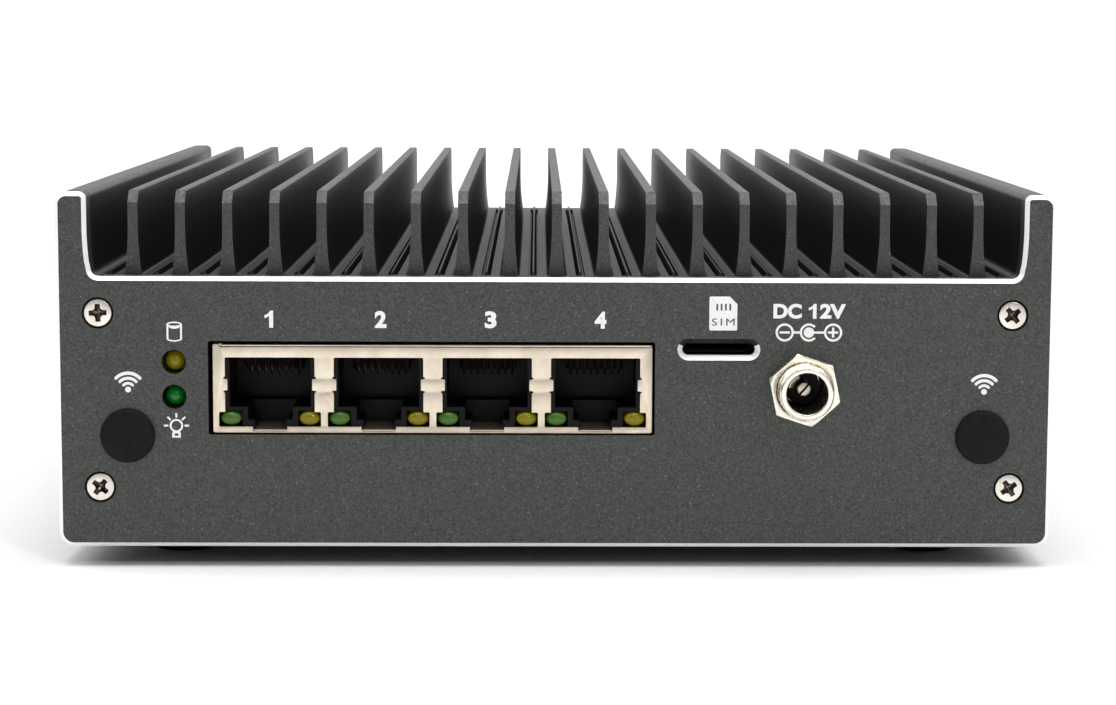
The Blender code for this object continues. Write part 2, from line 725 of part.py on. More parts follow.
def lan_jack_shield():
    half = JACK_WIDTH / 2
    low = (JACK_X - half, JACK_FACE, JACK_HEIGHTS[0])
    high = (JACK_X + half, JACK_FACE + JACK_DEPTH, JACK_HEIGHTS[1])
    shield = block("lan_jack_shield", low, high, SHIELD)
    inner_low = [value + SHIELD_WALL for value in low]
    inner_high = [value - SHIELD_WALL for value in high]
    cut(shield, block("shield_hollow", inner_low, inner_high))
    openings = [port_opening(x) for x in port_centers()]
    reach = JACK_FACE + 2 * SHIELD_WALL
    for index, opening in enumerate(openings, 1):
        cut(shield, extruded(f"port_opening_{index}", [opening], "XZ", FRONT - 0.001, reach))


def housing_cutters(index, x, face):
    """One port's plug space, the stepped latch channel under it and its two lamp pockets."""
    before = face - 0.001
    top = PORT_TOP + SEAM
    low = JACK_HEIGHTS[0]
    yield block(
        f"plug_space_{index}",
        (x - PLUG_HALF_WIDTH, before, PLUG_FLOOR),
        (x + PLUG_HALF_WIDTH, JACK_FACE + PLUG_DEPTH, top),
    )
    steps = {
        "wide": (LATCH_HALF_WIDTH, LATCH_STEP, PLUG_FLOOR + SEAM),
        "narrow": (NOTCH_HALF_WIDTH, low, LATCH_STEP + SEAM),
    }
    for step, (half, bottom, roof) in steps.items():
        yield block(
            f"latch_channel_{index}_{step}",
            (x - half, before, bottom),
            (x + half, JACK_FACE + LATCH_DEPTH, roof),
        )
    width, length, height = PORT_LAMP_SIZE
    for side in (-1, 1):
        center = x + side * PORT_LAMP_X
        reach = width / 2 + SEAM
        yield block(
            f"lamp_pocket_{index}_{side}",
            (center - reach, before, low),
            (center + reach, face + length + SEAM, PORT_LAMP_Z + height / 2 + SEAM),
        )


def lan_jack_housing():
    margin = SHIELD_WALL + SEAM
    half = JACK_WIDTH / 2 - margin
    face = JACK_FACE + margin
    housing = block(
        "lan_jack_housing",
        (JACK_X - half, face, JACK_HEIGHTS[0] + margin),
        (JACK_X + half, JACK_FACE + JACK_DEPTH - margin, JACK_HEIGHTS[1] - margin),
        BLACK_PLASTIC,
    )
    for index, x in enumerate(port_centers(), 1):
        cut(housing, *housing_cutters(index, x, face))


def port_lamp(name, x, surface):
    """An oval lamp with a rounded front, its front face just behind the shield's."""
    width, length, height = PORT_LAMP_SIZE
    bm = bmesh.new()
    bmesh.ops.create_cone(bm, cap_ends=True, segments=16, radius1=0.5, radius2=0.5, depth=1)
    bmesh.ops.scale(bm, vec=(width, height, length), verts=bm.verts)
    front = [edge for edge in bm.edges if all(vert.co.z > 0 for vert in edge.verts)]
    bmesh.ops.bevel(
        bm, geom=front, offset=PORT_LAMP_ROUNDING, segments=2, profile=0.5, affect="EDGES"
    )
    made = keep(name, mesh_from(name, bm), surface)
    made.rotation_euler = FACING_FRONT
    made.location = (x, JACK_FACE + length / 2, PORT_LAMP_Z)


def strip_outline(path, thickness):
    """The outline of a bent strip of this thickness along a path, for a flat extrusion."""
    above = []
    below = []
    for i, (y, z) in enumerate(path):
        y0, z0 = path[max(i - 1, 0)]
        y1, z1 = path[min(i + 1, len(path) - 1)]
        length = math.hypot(y1 - y0, z1 - z0)
        shift_y = -(z1 - z0) / length * thickness / 2
        shift_z = (y1 - y0) / length * thickness / 2
        above.append((y + shift_y, z + shift_z))
        below.append((y - shift_y, z - shift_z))
    return above + below[::-1]


def lan_contacts(index, x):
    """Eight spring wires that slant down into the port, held by a bar under its roof."""
    roof = CONTACT_ROOF
    start = CONTACT_START
    path = [
        (start, roof),
        (start + 0.0008, roof - 0.0001),
        (start + CONTACT_REACH, roof - CONTACT_DROP),
    ]
    outline = strip_outline(path, CONTACT_THICKNESS)
    half_row = (CONTACT_COUNT - 1) / 2 * CONTACT_PITCH
    bar = block(
        f"lan_contacts_{index}",
        (x - half_row - CONTACT_WIDTH, start - CONTACT_THICKNESS, roof - CONTACT_THICKNESS),
        (x + half_row + CONTACT_WIDTH, start + 0.0006, roof + 0.0002),
        GOLD,
    )
    for number in range(CONTACT_COUNT):
        middle = x - half_row + number * CONTACT_PITCH
        low = middle - CONTACT_WIDTH / 2
        wire = extruded(f"wire_{index}_{number}", [outline], "YZ", low, low + CONTACT_WIDTH)
        join(bar, wire)


def lan_jack():
    lan_jack_shield()
    lan_jack_housing()
    for index, x in enumerate(port_centers(), 1):
        port_lamp(f"lan_green_led_{index}", x - PORT_LAMP_X, GREEN_LENS)
        port_lamp(f"lan_yellow_led_{index}", x + PORT_LAMP_X, YELLOW_LENS)
        lan_contacts(index, x)


def dc_jack_body():
    """The threaded barrel, with its mouth's chamfer, a flange behind the panel and a body."""
    mouth = FRONT_PROUD
    behind = -(PANEL_THICKNESS + SEAM)
    flange, flange_thickness = INLET_FLANGE
    body, body_depth = INLET_BODY
    pocket = mouth - INLET_POCKET_DEPTH
    profile = [
        (INLET_BORE_RADIUS + INLET_MOUTH_CHAMFER, mouth),
        (INLET_RADIUS - INLET_RIM_CHAMFER, mouth),
        (INLET_RADIUS, mouth - INLET_RIM_CHAMFER),
        (INLET_RADIUS, behind),
        (flange, behind),
        (flange, behind - flange_thickness),
        (body, behind - flange_thickness),
        (body, behind - body_depth),
        (0, behind - body_depth),
        (0, pocket),
        (INLET_BORE_RADIUS, pocket),
        (INLET_BORE_RADIUS, mouth - INLET_MOUTH_CHAMFER),
        (INLET_BORE_RADIUS + INLET_MOUTH_CHAMFER, mouth),
    ]
    place = (INLET_X, FRONT, INLET_Z)
    turned("dc_jack_body", profile, place, FACING_FRONT, NICKEL, 32)


def dc_jack_pin():
    """The slotted centre pin, which stands on a collar held by the insulator."""
    top = FRONT_PROUD - PIN_RECESS
    bottom = FRONT_PROUD - INLET_POCKET_DEPTH + SEAM
    profile = [(0, top), (PIN_RADIUS - PIN_ROUNDING, top), (PIN_RADIUS, top - PIN_ROUNDING)]
    profile += [(PIN_RADIUS, bottom), (0, bottom)]
    place = (INLET_X, FRONT, INLET_Z)
    pin = turned("dc_jack_pin", profile, place, FACING_FRONT, NICKEL, 16)
    slot = block(
        "pin_slot",
        (-PIN_RADIUS * 1.5, -PIN_SLOT_WIDTH / 2, top - PIN_SLOT_DEPTH),
        (PIN_RADIUS * 1.5, PIN_SLOT_WIDTH / 2, top + CUTTER_OVERLAP),
    )
    slot.data.transform(Matrix.Rotation(PIN_SLOT_TURN, 4, "Z"))
    slot.location = place
    slot.rotation_euler = FACING_FRONT
    cut(pin, slot)


def dc_jack_insulator():
    """A ring of moulded plastic that holds the pin at the bottom of the bore."""
    top = FRONT_PROUD - INLET_BORE_DEPTH
    bottom = top - INSULATOR_THICKNESS
    inner = PIN_RADIUS + SEAM
    outer = INLET_BORE_RADIUS - SEAM
    profile = [(inner, top), (outer, top), (outer, bottom), (inner, bottom)]
    place = (INLET_X, FRONT, INLET_Z)
    turned("dc_jack_insulator", profile, place, FACING_FRONT, BLACK_PLASTIC, 24, ring=True)


def dc_jack_nut():
    back = FRONT - SEAM
    corners = [NUT_TURN + math.radians(60) * i for i in range(6)]
    hexagon = [
        (INLET_X + NUT_CIRCUMRADIUS * math.cos(a), INLET_Z + NUT_CIRCUMRADIUS * math.sin(a))
        for a in corners
    ]
    hole = arc(INLET_X, INLET_Z, INLET_RADIUS + SEAM, 0, 345, 23)
    nut = extruded("dc_jack_nut", [hexagon, hole], "XZ", back - NUT_THICKNESS, back, NICKEL)
    place = (INLET_X, FRONT, INLET_Z)
    outer = NUT_CIRCUMRADIUS + 0.001
    inward, downward = NUT_CROWN
    face = SEAM + NUT_THICKNESS
    profile = [
        (NUT_CIRCUMRADIUS - inward, face + 0.0001),
        (outer, face + 0.0001),
        (outer, face - downward),
    ]
    cut(nut, turned("nut_crown", profile, place, FACING_FRONT, None, 32, ring=True))


def dc_jack():
    dc_jack_body()
    dc_jack_pin()
    dc_jack_insulator()
    dc_jack_nut()


def status_lamp(name, z, surface):
    """A 3 mm lamp with a domed front, which sits back in its hole."""
    radius = STATUS_LAMP_RADIUS
    shoulder = -STATUS_LAMP_SHOULDER
    dome = arc(0, shoulder, radius, 90, 0, 5)
    profile = dome + [(radius, -STATUS_LAMP_LENGTH), (0, -STATUS_LAMP_LENGTH)]
    turned(name, profile, (STATUS_X, FRONT, z), FACING_FRONT, surface, 20)


def antenna_plug(name, x):
    """A rubber plug with a low domed cap that closes an antenna hole."""
    radius = ANTENNA_CAP_RADIUS
    rise = ANTENNA_CAP_RISE
    grip = -(PANEL_THICKNESS + SEAM)
    profile = [
        (0, rise),
        (radius * 0.5, rise - 0.00008),
        (radius - 0.0006, rise - 0.0003),
        (radius - 0.0001, rise - 0.0006),
        (radius, SEAM),
        (ANTENNA_STEM_RADIUS, SEAM),
        (ANTENNA_STEM_RADIUS, grip),
        (ANTENNA_HOLE_RADIUS + ANTENNA_LIP, grip),
        (ANTENNA_STEM_RADIUS, grip - ANTENNA_LIP_LENGTH),
        (0, grip - ANTENNA_LIP_LENGTH),
    ]
    turned(name, profile, (x, FRONT, ANTENNA_Z), FACING_FRONT, RUBBER, 28)


def sim_socket():
    front = INNER_FRONT + SEAM
    socket = hung_block("sim_socket", CARD_X, CARD_SOCKET, front, SHIELD)
    width, depth, height = CARD_SOCKET
    wall = CARD_SOCKET_WALL
    size = (width - 2 * wall, depth, height - 2 * wall)
    cut(socket, hung_block("card_space", CARD_X, size, front - wall, None, HUNG - wall))


def main_board():
    board = block(
        "main_board",
        (-BOARD_HALF_WIDTH, BOARD_MIDDLE_Y - BOARD_HALF_DEPTH, BOARD_UNDERSIDE),
        (BOARD_HALF_WIDTH, BOARD_MIDDLE_Y + BOARD_HALF_DEPTH, BOARD_TOP),
        BOARD_GREEN,
    )
    for index, (x, y) in enumerate(BOARD_SCREWS, 1):
        above = (x, y, BOARD_TOP + 0.001)
        name = f"board_hole_{index}"
        cut(board, rod(name, SCREW_HOLE_RADIUS, above, FACING_UP, 0.004, steps=12))
        board_screw(f"board_screw_{index}", x, y)


def board_screw(name, x, y):
    """A pan head screw through the board from below, into a boss under the heatsink's roof."""
    radius, height = BOARD_SCREW_HEAD
    rounding = BOARD_SCREW_ROUNDING
    shank = SCREW_SHANK_RADIUS
    profile = [(0, height), (radius - rounding, height), (radius, height - rounding)]
    profile += [(radius, 0), (shank, 0), (shank, -BOARD_SCREW_LENGTH), (0, -BOARD_SCREW_LENGTH)]
    turned(name, profile, (x, y, HUNG), FACING_DOWN, NICKEL, 16)


def processor():
    """The processor on the board's top, and the metal block that takes its heat to the roof."""
    x, y = PROCESSOR_PLACE
    half = PROCESSOR_HALF_WIDTH
    die = DIE_HALF_WIDTH
    low = BOARD_TOP + SEAM
    middle = low + PROCESSOR_THICKNESS / 2
    crown = low + DIE_TOP
    package = block(
        "processor_package",
        (x - half, y - half, low),
        (x + half, y + half, low + PROCESSOR_THICKNESS),
        CHIP,
    )
    join(package, block("die", (x - die, y - die, middle), (x + die, y + die, crown)))
    half = SPREADER_HALF_WIDTH
    block(
        "heat_spreader_block",
        (x - half, y - half, crown + SEAM),
        (x + half, y + half, SLAB_UNDERSIDE - SEAM),
        BARE_ALUMINIUM,
        SPREADER_ROUNDING,
    )


def memory():
    """A memory socket with two arms under the board, and the module lying between them."""
    x, y = MEMORY_PLACE
    half = MEMORY_SOCKET_HALF_WIDTH
    arm_width, arm_length = MEMORY_ARM
    right = [
        (half, y),
        (half, y + arm_length),
        (half - arm_width, y + arm_length),
        (half - arm_width, y + MEMORY_BAR),
    ]
    outline = [(x + dx, along) for dx, along in right + mirrored(right)]
    underside = HUNG - MEMORY_SOCKET_HEIGHT
    socket = extruded("memory_socket", [outline], "XY", underside, HUNG, BLACK_PLASTIC)
    card_low = HUNG - MEMORY_CARD_DROP
    card_high = card_low + MEMORY_CARD_THICKNESS
    card_half = MEMORY_CARD_HALF_WIDTH
    front = y + MEMORY_CARD_INSET
    slot = block(
        "memory_slot",
        (x - card_half - SEAM, front - SEAM, card_low - SEAM),
        (x + card_half + SEAM, y + MEMORY_BAR + 0.001, card_high + SEAM),
    )
    cut(socket, slot)
    card = block(
        "memory_module",
        (x - card_half, front, card_low),
        (x + card_half, front + MEMORY_CARD_DEPTH, card_high),
        BOARD_GREEN,
    )
    near, far = MEMORY_CHIP_DEPTHS
    for index in range(MEMORY_CHIPS):
        center = x + (index - (MEMORY_CHIPS - 1) / 2) * MEMORY_CHIP_PITCH
        low = (center - MEMORY_CHIP_HALF_WIDTH, front + near, card_low - CHIP_HEIGHT)
        high = (center + MEMORY_CHIP_HALF_WIDTH, front + far, card_low + SEAM)
        join(card, block(f"memory_chip_{index}", low, high))


def storage():
    """A short card socket under the board, and the storage card in it."""
    x, y = STORAGE_PLACE
    half = STORAGE_CARD_HALF_WIDTH
    socket = hung_block("storage_slot", x, STORAGE_SOCKET, y, BLACK_PLASTIC)
    card_low = HUNG - STORAGE_CARD_DROP
    card_high = card_low + STORAGE_CARD_THICKNESS
    front = y + STORAGE_CARD_INSET
    slot = block(
        "storage_slot_mouth",
        (x - half - SEAM, front - SEAM, card_low - SEAM),
        (x + half + SEAM, y + STORAGE_SOCKET[1] + 0.001, card_high + SEAM),
    )
    cut(socket, slot)
    card = block(
        "storage_module",
        (x - half, front, card_low),
        (x + half, front + STORAGE_CARD_DEPTH, card_high),
        BOARD_GREEN,
    )
    for index, (near, far) in enumerate(STORAGE_CHIP_DEPTHS):
        low = (x - STORAGE_CHIP_HALF_WIDTH, front + near, card_low - STORAGE_CHIP_HEIGHT)
        high = (x + STORAGE_CHIP_HALF_WIDTH, front + far, card_low + SEAM)
        join(card, block(f"storage_chip_{index}", low, high))


def clock_battery():
    radius = BATTERY_RADIUS
    bottom = -BATTERY_THICKNESS
    profile = [(0, 0), (radius - BATTERY_ROUNDING, 0), (radius, -BATTERY_ROUNDING)]
    profile += [(radius, bottom), (0, bottom)]
    turned("clock_battery", profile, (*BATTERY_PLACE, HUNG), FACING_UP, NICKEL, 32)


def usb_port_stack():
    """Two sockets one above the other in one shell, each with its tongue."""
    face = REAR - SEAM
    shell = hung_block("usb_port_stack", USB_X, USB_SIZE, face - USB_SIZE[1], SHIELD)
    half_width, half_height = (size / 2 for size in USB_OPENING)
    tongue_half_width, tongue_half_height = (size / 2 for size in USB_TONGUE)
    for index, share in enumerate(USB_MIDDLES, 1):
        middle = HUNG - USB_SIZE[2] * share
        low = (USB_X - half_width, face - USB_OPENING_DEPTH, middle - half_height)
        high = (USB_X + half_width, face + 0.001, middle + half_height)
        cut(shell, block(f"usb_opening_{index}", low, high))
        root = face - USB_OPENING_DEPTH - CUTTER_OVERLAP
        tip = face - USB_TONGUE_SETBACK
        center = middle + USB_TONGUE_RISE
        low = (USB_X - tongue_half_width, root, center - tongue_half_height)
        high = (USB_X + tongue_half_width, tip, center + tongue_half_height)
        join(shell, block(f"usb_tongue_{index}", low, high))


def video_port():
    """A flat video socket whose lower corners are cut, with a thin tongue."""
    face = REAR - SEAM
    shell = hung_block("video_port", VIDEO_X, VIDEO_SIZE, face - VIDEO_SIZE[1], SHIELD)
    top, bottom = (HUNG - drop for drop in VIDEO_OPENING_DROPS)
    half = VIDEO_OPENING_HALF_WIDTH
    corner = VIDEO_OPENING_CORNER
    right = [(half - corner, bottom), (half, bottom + corner), (half, top)]
    outline = [(VIDEO_X + x, z) for x, z in right + mirrored(right)]
    floor = face - VIDEO_OPENING_DEPTH
    cut(shell, extruded("video_opening", [outline], "XZ", floor, face + 0.001))
    half = VIDEO_TONGUE_HALF_WIDTH
    above, below = VIDEO_TONGUE_DROPS
    low = (VIDEO_X - half, floor - CUTTER_OVERLAP, HUNG - below)
    high = (VIDEO_X + half, face - VIDEO_TONGUE_SETBACK, HUNG - above)
    join(shell, block("video_tongue", low, high))


def console_port():
    """A single jack of the network jack's shape, for a serial console."""
    face = REAR - SEAM
    top = JACK_HEIGHTS[1]
    place = face - CONSOLE_SIZE[1]
    shell = hung_block("console_port", CONSOLE_X, CONSOLE_SIZE, place, SHIELD, top)
    low = (CONSOLE_X - PLUG_HALF_WIDTH, face - PLUG_DEPTH, PLUG_FLOOR)
    high = (CONSOLE_X + PLUG_HALF_WIDTH, face + 0.001, PORT_TOP)
    cut(shell, block("console_space", low, high))
    low = (CONSOLE_X - LATCH_HALF_WIDTH, face - LATCH_DEPTH, CONSOLE_LATCH_BOTTOM)
    high = (CONSOLE_X + LATCH_HALF_WIDTH, face + 0.001, PLUG_FLOOR + SEAM)
    cut(shell, block("console_latch", low, high))


def power_switch():
    """A round panel switch: its flange outside the rear panel, its barrel through it."""
    top = SWITCH_FLANGE_TOP
    chamfer = SWITCH_FLANGE_CHAMFER
    bottom = top - SWITCH_DEPTH
    profile = [
        (SWITCH_BORE_RADIUS, top),
        (SWITCH_FLANGE_RADIUS - chamfer, top),
        (SWITCH_FLANGE_RADIUS, top - chamfer),
        (SWITCH_FLANGE_RADIUS, SEAM),
        (SWITCH_BARREL_RADIUS, SEAM),
        (SWITCH_BARREL_RADIUS, bottom),
        (0, bottom),
        (0, SWITCH_BORE_BOTTOM),
        (SWITCH_BORE_RADIUS, SWITCH_BORE_BOTTOM),
        (SWITCH_BORE_RADIUS, top),
    ]
    place = (BUTTON_X, REAR, BUTTON_Z)
    turned("power_switch", profile, place, FACING_REAR, NICKEL, 32)
    cap_bottom = SWITCH_BORE_BOTTOM + BUTTON_TRAVEL + SEAM
    profile = [
        (0, REAR_PROUD),
        (BUTTON_RADIUS - BUTTON_ROUNDING, REAR_PROUD),
        (BUTTON_RADIUS, REAR_PROUD - BUTTON_ROUNDING),
        (BUTTON_RADIUS, cap_bottom),
        (0, cap_bottom),
    ]
    turned("power_button_cap", profile, place, FACING_REAR, BLACK_PLASTIC, 28)


heatsink_shell()
front_panel()
rear_panel()
bottom_plate()
lan_jack()
dc_jack()
status_lamp("storage_led", STORAGE_LAMP_Z, YELLOW_LENS)
status_lamp("power_led", POWER_LAMP_Z, GREEN_LENS)
antenna_plug("antenna_plug_left", -ANTENNA_X)
antenna_plug("antenna_plug_right", ANTENNA_X)
sim_socket()
main_board()
processor()
memory()
storage()
clock_battery()
usb_port_stack()
video_port()
console_port()
power_switch()
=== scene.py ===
"""Looks of the fanless firewall appliance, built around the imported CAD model.

Metres, in the CAD's frame: +Z up, and the panel with the network jacks faces -Y.
"""

import math

import bmesh
import bpy
from mathutils import Matrix, Vector


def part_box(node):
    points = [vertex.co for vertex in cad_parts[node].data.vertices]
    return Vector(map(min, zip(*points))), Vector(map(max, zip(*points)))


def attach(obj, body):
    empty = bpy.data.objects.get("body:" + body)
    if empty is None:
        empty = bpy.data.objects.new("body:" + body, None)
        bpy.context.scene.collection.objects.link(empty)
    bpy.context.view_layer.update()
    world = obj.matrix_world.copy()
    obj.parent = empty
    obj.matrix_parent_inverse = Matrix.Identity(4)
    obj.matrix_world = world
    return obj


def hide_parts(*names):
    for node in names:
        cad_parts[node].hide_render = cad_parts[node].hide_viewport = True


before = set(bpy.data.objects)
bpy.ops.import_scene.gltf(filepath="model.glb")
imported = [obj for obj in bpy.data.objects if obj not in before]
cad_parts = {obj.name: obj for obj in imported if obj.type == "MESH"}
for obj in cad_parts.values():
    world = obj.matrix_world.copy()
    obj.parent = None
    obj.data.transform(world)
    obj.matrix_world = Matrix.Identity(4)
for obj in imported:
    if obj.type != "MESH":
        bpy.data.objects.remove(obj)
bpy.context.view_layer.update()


class Node:
    """The box of a CAD node, with its middle and half of its width."""

    def __init__(self, name):
        self.name = name
        self.low, self.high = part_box(name)
        self.center = (self.low + self.high) / 2
        self.radius = (self.high.x - self.low.x) / 2


def center_of(node):
    return Node(node).center


def on_front(center):
    """The point on the front panel's face that this one lies behind."""
    return Vector((center.x, FRONT, center.z))


# Places, from the CAD nodes
PANEL = Node("front_panel")
REAR_PANEL = Node("rear_panel")
PLATE = Node("bottom_plate")
JACK = Node("lan_jack_shield")
FRONT = PANEL.low.y
INNER_FRONT = PANEL.high.y
INNER_REAR = REAR_PANEL.low.y
REAR = REAR_PANEL.high.y
BASE = PANEL.low.z
TOP = PANEL.high.z
HALF_WIDTH = PANEL.high.x
CARD = center_of("sim_socket")
INLET = center_of("dc_jack_nut")
INLET_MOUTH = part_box("dc_jack_body")[0].y
BUTTON = center_of("power_button_cap")
ANTENNA_PLUGS = ("antenna_plug_left", "antenna_plug_right")

# Working values
SEAM = 0.00005  # between parts that would touch
PASS = 0.001  # that a cutter reaches past a face
MERGE = 0.0000005

# Section of the extrusion and outline of the end panels
VALLEY = BASE + 0.0396
FLARE_START = BASE + 0.0468
EAR_WIDTH = 0.0046
WALL_FLARE = 0.0005
FOOT_FILLET = 0.00115
BOTTOM_RADIUS = 0.0022
EAR_OUTER_RADIUS = 0.0018
EAR_INNER_RADIUS = 0.0010
CHAMFER = 0.0006
FIN_COUNT = 19
FIN_PITCH = 0.00686
FIN_THICKNESS = 0.00145
FIN_FLARE = 0.00045
FIN_FILLET = 0.00045
FIN_CORNER = 0.00175
FIN_ROUNDING = 0.0002
GROOVE_HALF = 0.000725
GROOVE_DEPTH = 0.0008
RIDGE_FOOT = 0.0005
RIDGE_HEIGHT = 0.0005
RIDGE_TIP = 0.00012
WALL = 0.003
ROOF_UNDERSIDE = BASE + 0.0353

# Parts of the front
SCREW_RADIUS = 0.0020
SCREW_SINK_RADIUS = 0.0023
SCREW_TURNS = {
    "front_panel_screw": (2, 38, 52, 33),
    "rear_panel_screw": (20, 65, 5, 48),
    "bottom_screw": (12, 40, 70, 25),
}
JACK_GAPS = (0.00062, 0.00038, 0.0002, 0.0005)  # left, right, below and above
PORT_COUNT = 4
PORT_PITCH = 0.0158
PORT_MIDDLE = JACK.center.x
PORT_TOP = BASE + 0.0278
PORT_HALF = 0.0065
LAMP_BAND = (BASE + 0.01765, BASE + 0.0198)
LAMP_BAND_HALF = 0.0074
NOTCH_HALF = 0.0025
NOTCH_BOTTOM = BASE + 0.01695
TABS = (BASE + 0.0229, BASE + 0.0247)
TAB_REACH = 0.00035
TAB_RELIEF = 0.00022
SHEET = 0.0004
FOLD = 0.00042
SLIP = 0.00008
LAMP_GAP = 0.00012
PLUG_HALF = 0.0059
PLUG_FLOOR = BASE + 0.0205
PLUG_DEPTH = 0.0107
LATCH_HALF = 0.00325
LATCH_STEP = BASE + 0.0186
LATCH_DEPTH = 0.0083
LATCH_TIP_HALF = 0.0023
CONTACT_COUNT = 8
CONTACT_PITCH = 0.001016
WIRE_RADIUS = 0.00016
STATUS_HOLE = 0.00178
CARD_SLOT = (0.0106, 0.0017)
CARD_CHAMFER = 0.00073
BORE_RADIUS = 0.003025
THREAD_RADIUS = 0.0040
THREAD_PITCH = 0.00075
NUT_RADIUS = 0.00544
NUT_TURN = 41.7
PIN_TURN = 50
PRINT = 0.00002
NUMBER_LEFT = -0.04232
NUMBER_PITCH = 0.01594
NUMBER_LEVEL = BASE + 0.03347
RATING_LEVEL = BASE + 0.03486

FRONTWARD = Matrix.Rotation(math.radians(90), 4, "X")
REARWARD = Matrix.Rotation(math.radians(-90), 4, "X")
DOWNWARD = Matrix.Rotation(math.radians(180), 4, "X")
SMOOTH_ANGLE = math.radians(32)


# Materials


class Finish:
    """A Principled material whose detail comes from noise in the frame's coordinates."""

    def __init__(self, name, color, roughness, metallic=0.0, **others):
        self.material = bpy.data.materials.new(name)
        self.material.use_nodes = True
        self.nodes = self.material.node_tree.nodes
        self.shader = self.nodes["Principled BSDF"]
        self.place = self.nodes.new("ShaderNodeTexCoord").outputs["Object"]
        self.fix("Base Color", (*color, 1))
        self.fix("Roughness", roughness)
        self.fix("Metallic", metallic)
        for socket, value in others.items():
            self.fix(socket.replace("_", " "), value)

    def fix(self, socket, value):
        self.shader.inputs[socket].default_value = value

    def link(self, output, target):
        self.material.node_tree.links.new(output, target)

    def drive(self, socket, output):
        self.link(output, self.shader.inputs[socket])

    def stretched(self, stretch):
        mapping = self.nodes.new("ShaderNodeMapping")
        mapping.inputs["Scale"].default_value = stretch
        self.link(self.place, mapping.inputs["Vector"])
        return mapping.outputs["Vector"]

    def noise(self, size, detail=2.0, stretch=(1, 1, 1)):
        """Noise whose features are about this size."""
        made = self.nodes.new("ShaderNodeTexNoise")
        made.inputs["Scale"].default_value = 1 / size
        made.inputs["Detail"].default_value = detail
        self.link(self.stretched(stretch), made.inputs["Vector"])
        return made.outputs["Fac"]

    def cells(self, size):
        """One random value in each cell of about this size."""
        made = self.nodes.new("ShaderNodeTexVoronoi")
        made.inputs["Scale"].default_value = 1 / size
        self.link(self.place, made.inputs["Vector"])
        split = self.nodes.new("ShaderNodeSeparateColor")
        self.link(made.outputs["Color"], split.inputs["Color"])
        return split.outputs["Red"]

    def facing(self, blend=0.5):
        made = self.nodes.new("ShaderNodeLayerWeight")
        made.inputs["Blend"].default_value = blend
        return made.outputs["Facing"]

    def remap(self, value, low, high, source=(0.0, 1.0)):
        made = self.nodes.new("ShaderNodeMapRange")
        for socket, number in zip(("From Min", "From Max", "To Min", "To Max"), (*source, low, high)):
            made.inputs[socket].default_value = number
        self.link(value, made.inputs["Value"])
        return made.outputs["Result"]

    def ramp(self, value, *stops):
        """Colours along a value, each stop a position and a colour."""
        made = self.nodes.new("ShaderNodeValToRGB")
        band = made.color_ramp.elements
        while len(band) < len(stops):
            band.new(0.5)
        for element, (position, color) in zip(band, stops):
            element.position = position
            element.color = (*color, 1)
        self.link(value, made.inputs["Fac"])
        return made.outputs["Color"]

    def mix(self, factor, first, second):
        made = self.nodes.new("ShaderNodeMix")
        made.data_type = "RGBA"
        sockets = (made.inputs["Factor"], made.inputs[6], made.inputs[7])
        for socket, value in zip(sockets, (factor, first, second)):
            if isinstance(value, bpy.types.NodeSocket):
                self.link(value, socket)
            else:
                socket.default_value = value if isinstance(value, float) else (*value, 1)
        return made.outputs[2]

    def bump(self, *layers):
        """Bumps from (height output, depth in metres) layers, one on the other."""
        normal = None
        for height, depth in layers:
            made = self.nodes.new("ShaderNodeBump")
            made.inputs["Distance"].default_value = depth
            made.inputs["Strength"].default_value = 1.0
            self.link(height, made.inputs["Height"])
            if normal is not None:
                self.link(normal, made.inputs["Normal"])
            normal = made.outputs["Normal"]
        self.drive("Normal", normal)


def drawn_aluminium():
    """The extrusion's skin between the fins: a darker tone, which is painted shade, with faint drawing
    lines along its length.
    """
    made = Finish("fin_skin_drawn_lines_painted_shade", (0.03, 0.032, 0.03), 0.5, 0.85)
    lines = made.noise(0.0006, 3.0, (1, 0.02, 1))
    # Darker than the blasted faces: painted shade between the fins; the lines along the length are real
    # drawing marks.
    made.drive("Base Color", made.ramp(lines, (0.3, (0.020, 0.021, 0.020)), (0.7, (0.036, 0.038, 0.036))))
    made.drive("Roughness", made.remap(lines, 0.42, 0.55))
    made.bump((lines, 0.000004))
    return made.material


def blasted_aluminium():
    """Bead blasted, dark grey anodised aluminium, its sparkle painted into the colour as bright specks:
    painted glints.
    """
    made = Finish("blasted_anodised_aluminium", (0.075, 0.08, 0.075), 0.5, 0.85)
    grain = made.noise(0.00030, 4.0)
    base = made.ramp(grain, (0.3, (0.050, 0.054, 0.051)), (0.7, (0.102, 0.108, 0.102)))
    # Bright specks mixed into the colour: painted glints.
    painted_glints = made.ramp(made.cells(0.00020), (0.97, (0, 0, 0)), (1.0, (1, 1, 1)))
    made.drive("Base Color", made.mix(painted_glints, base, (0.16, 0.165, 0.16)))
    made.drive("Roughness", made.remap(made.noise(0.0005, 2.0), 0.42, 0.6, (0.3, 0.7)))
    made.bump((grain, 0.00002), (made.noise(0.00012), 0.000008))
    return made.material


def bare_chamfer():
    """Machined aluminium, cut bright after anodising, with fine tool marks."""
    made = Finish("bright_cut_aluminium", (0.93, 0.93, 0.92), 0.3, 0.55)
    marks = made.noise(0.00015, 2.0, (0.15, 1, 1))
    made.drive("Base Color", made.ramp(marks, (0.3, (0.86, 0.86, 0.86)), (0.7, (0.97, 0.97, 0.96))))
    made.drive("Roughness", made.remap(marks, 0.36, 0.5))
    made.bump((marks, 0.000003))
    return made.material


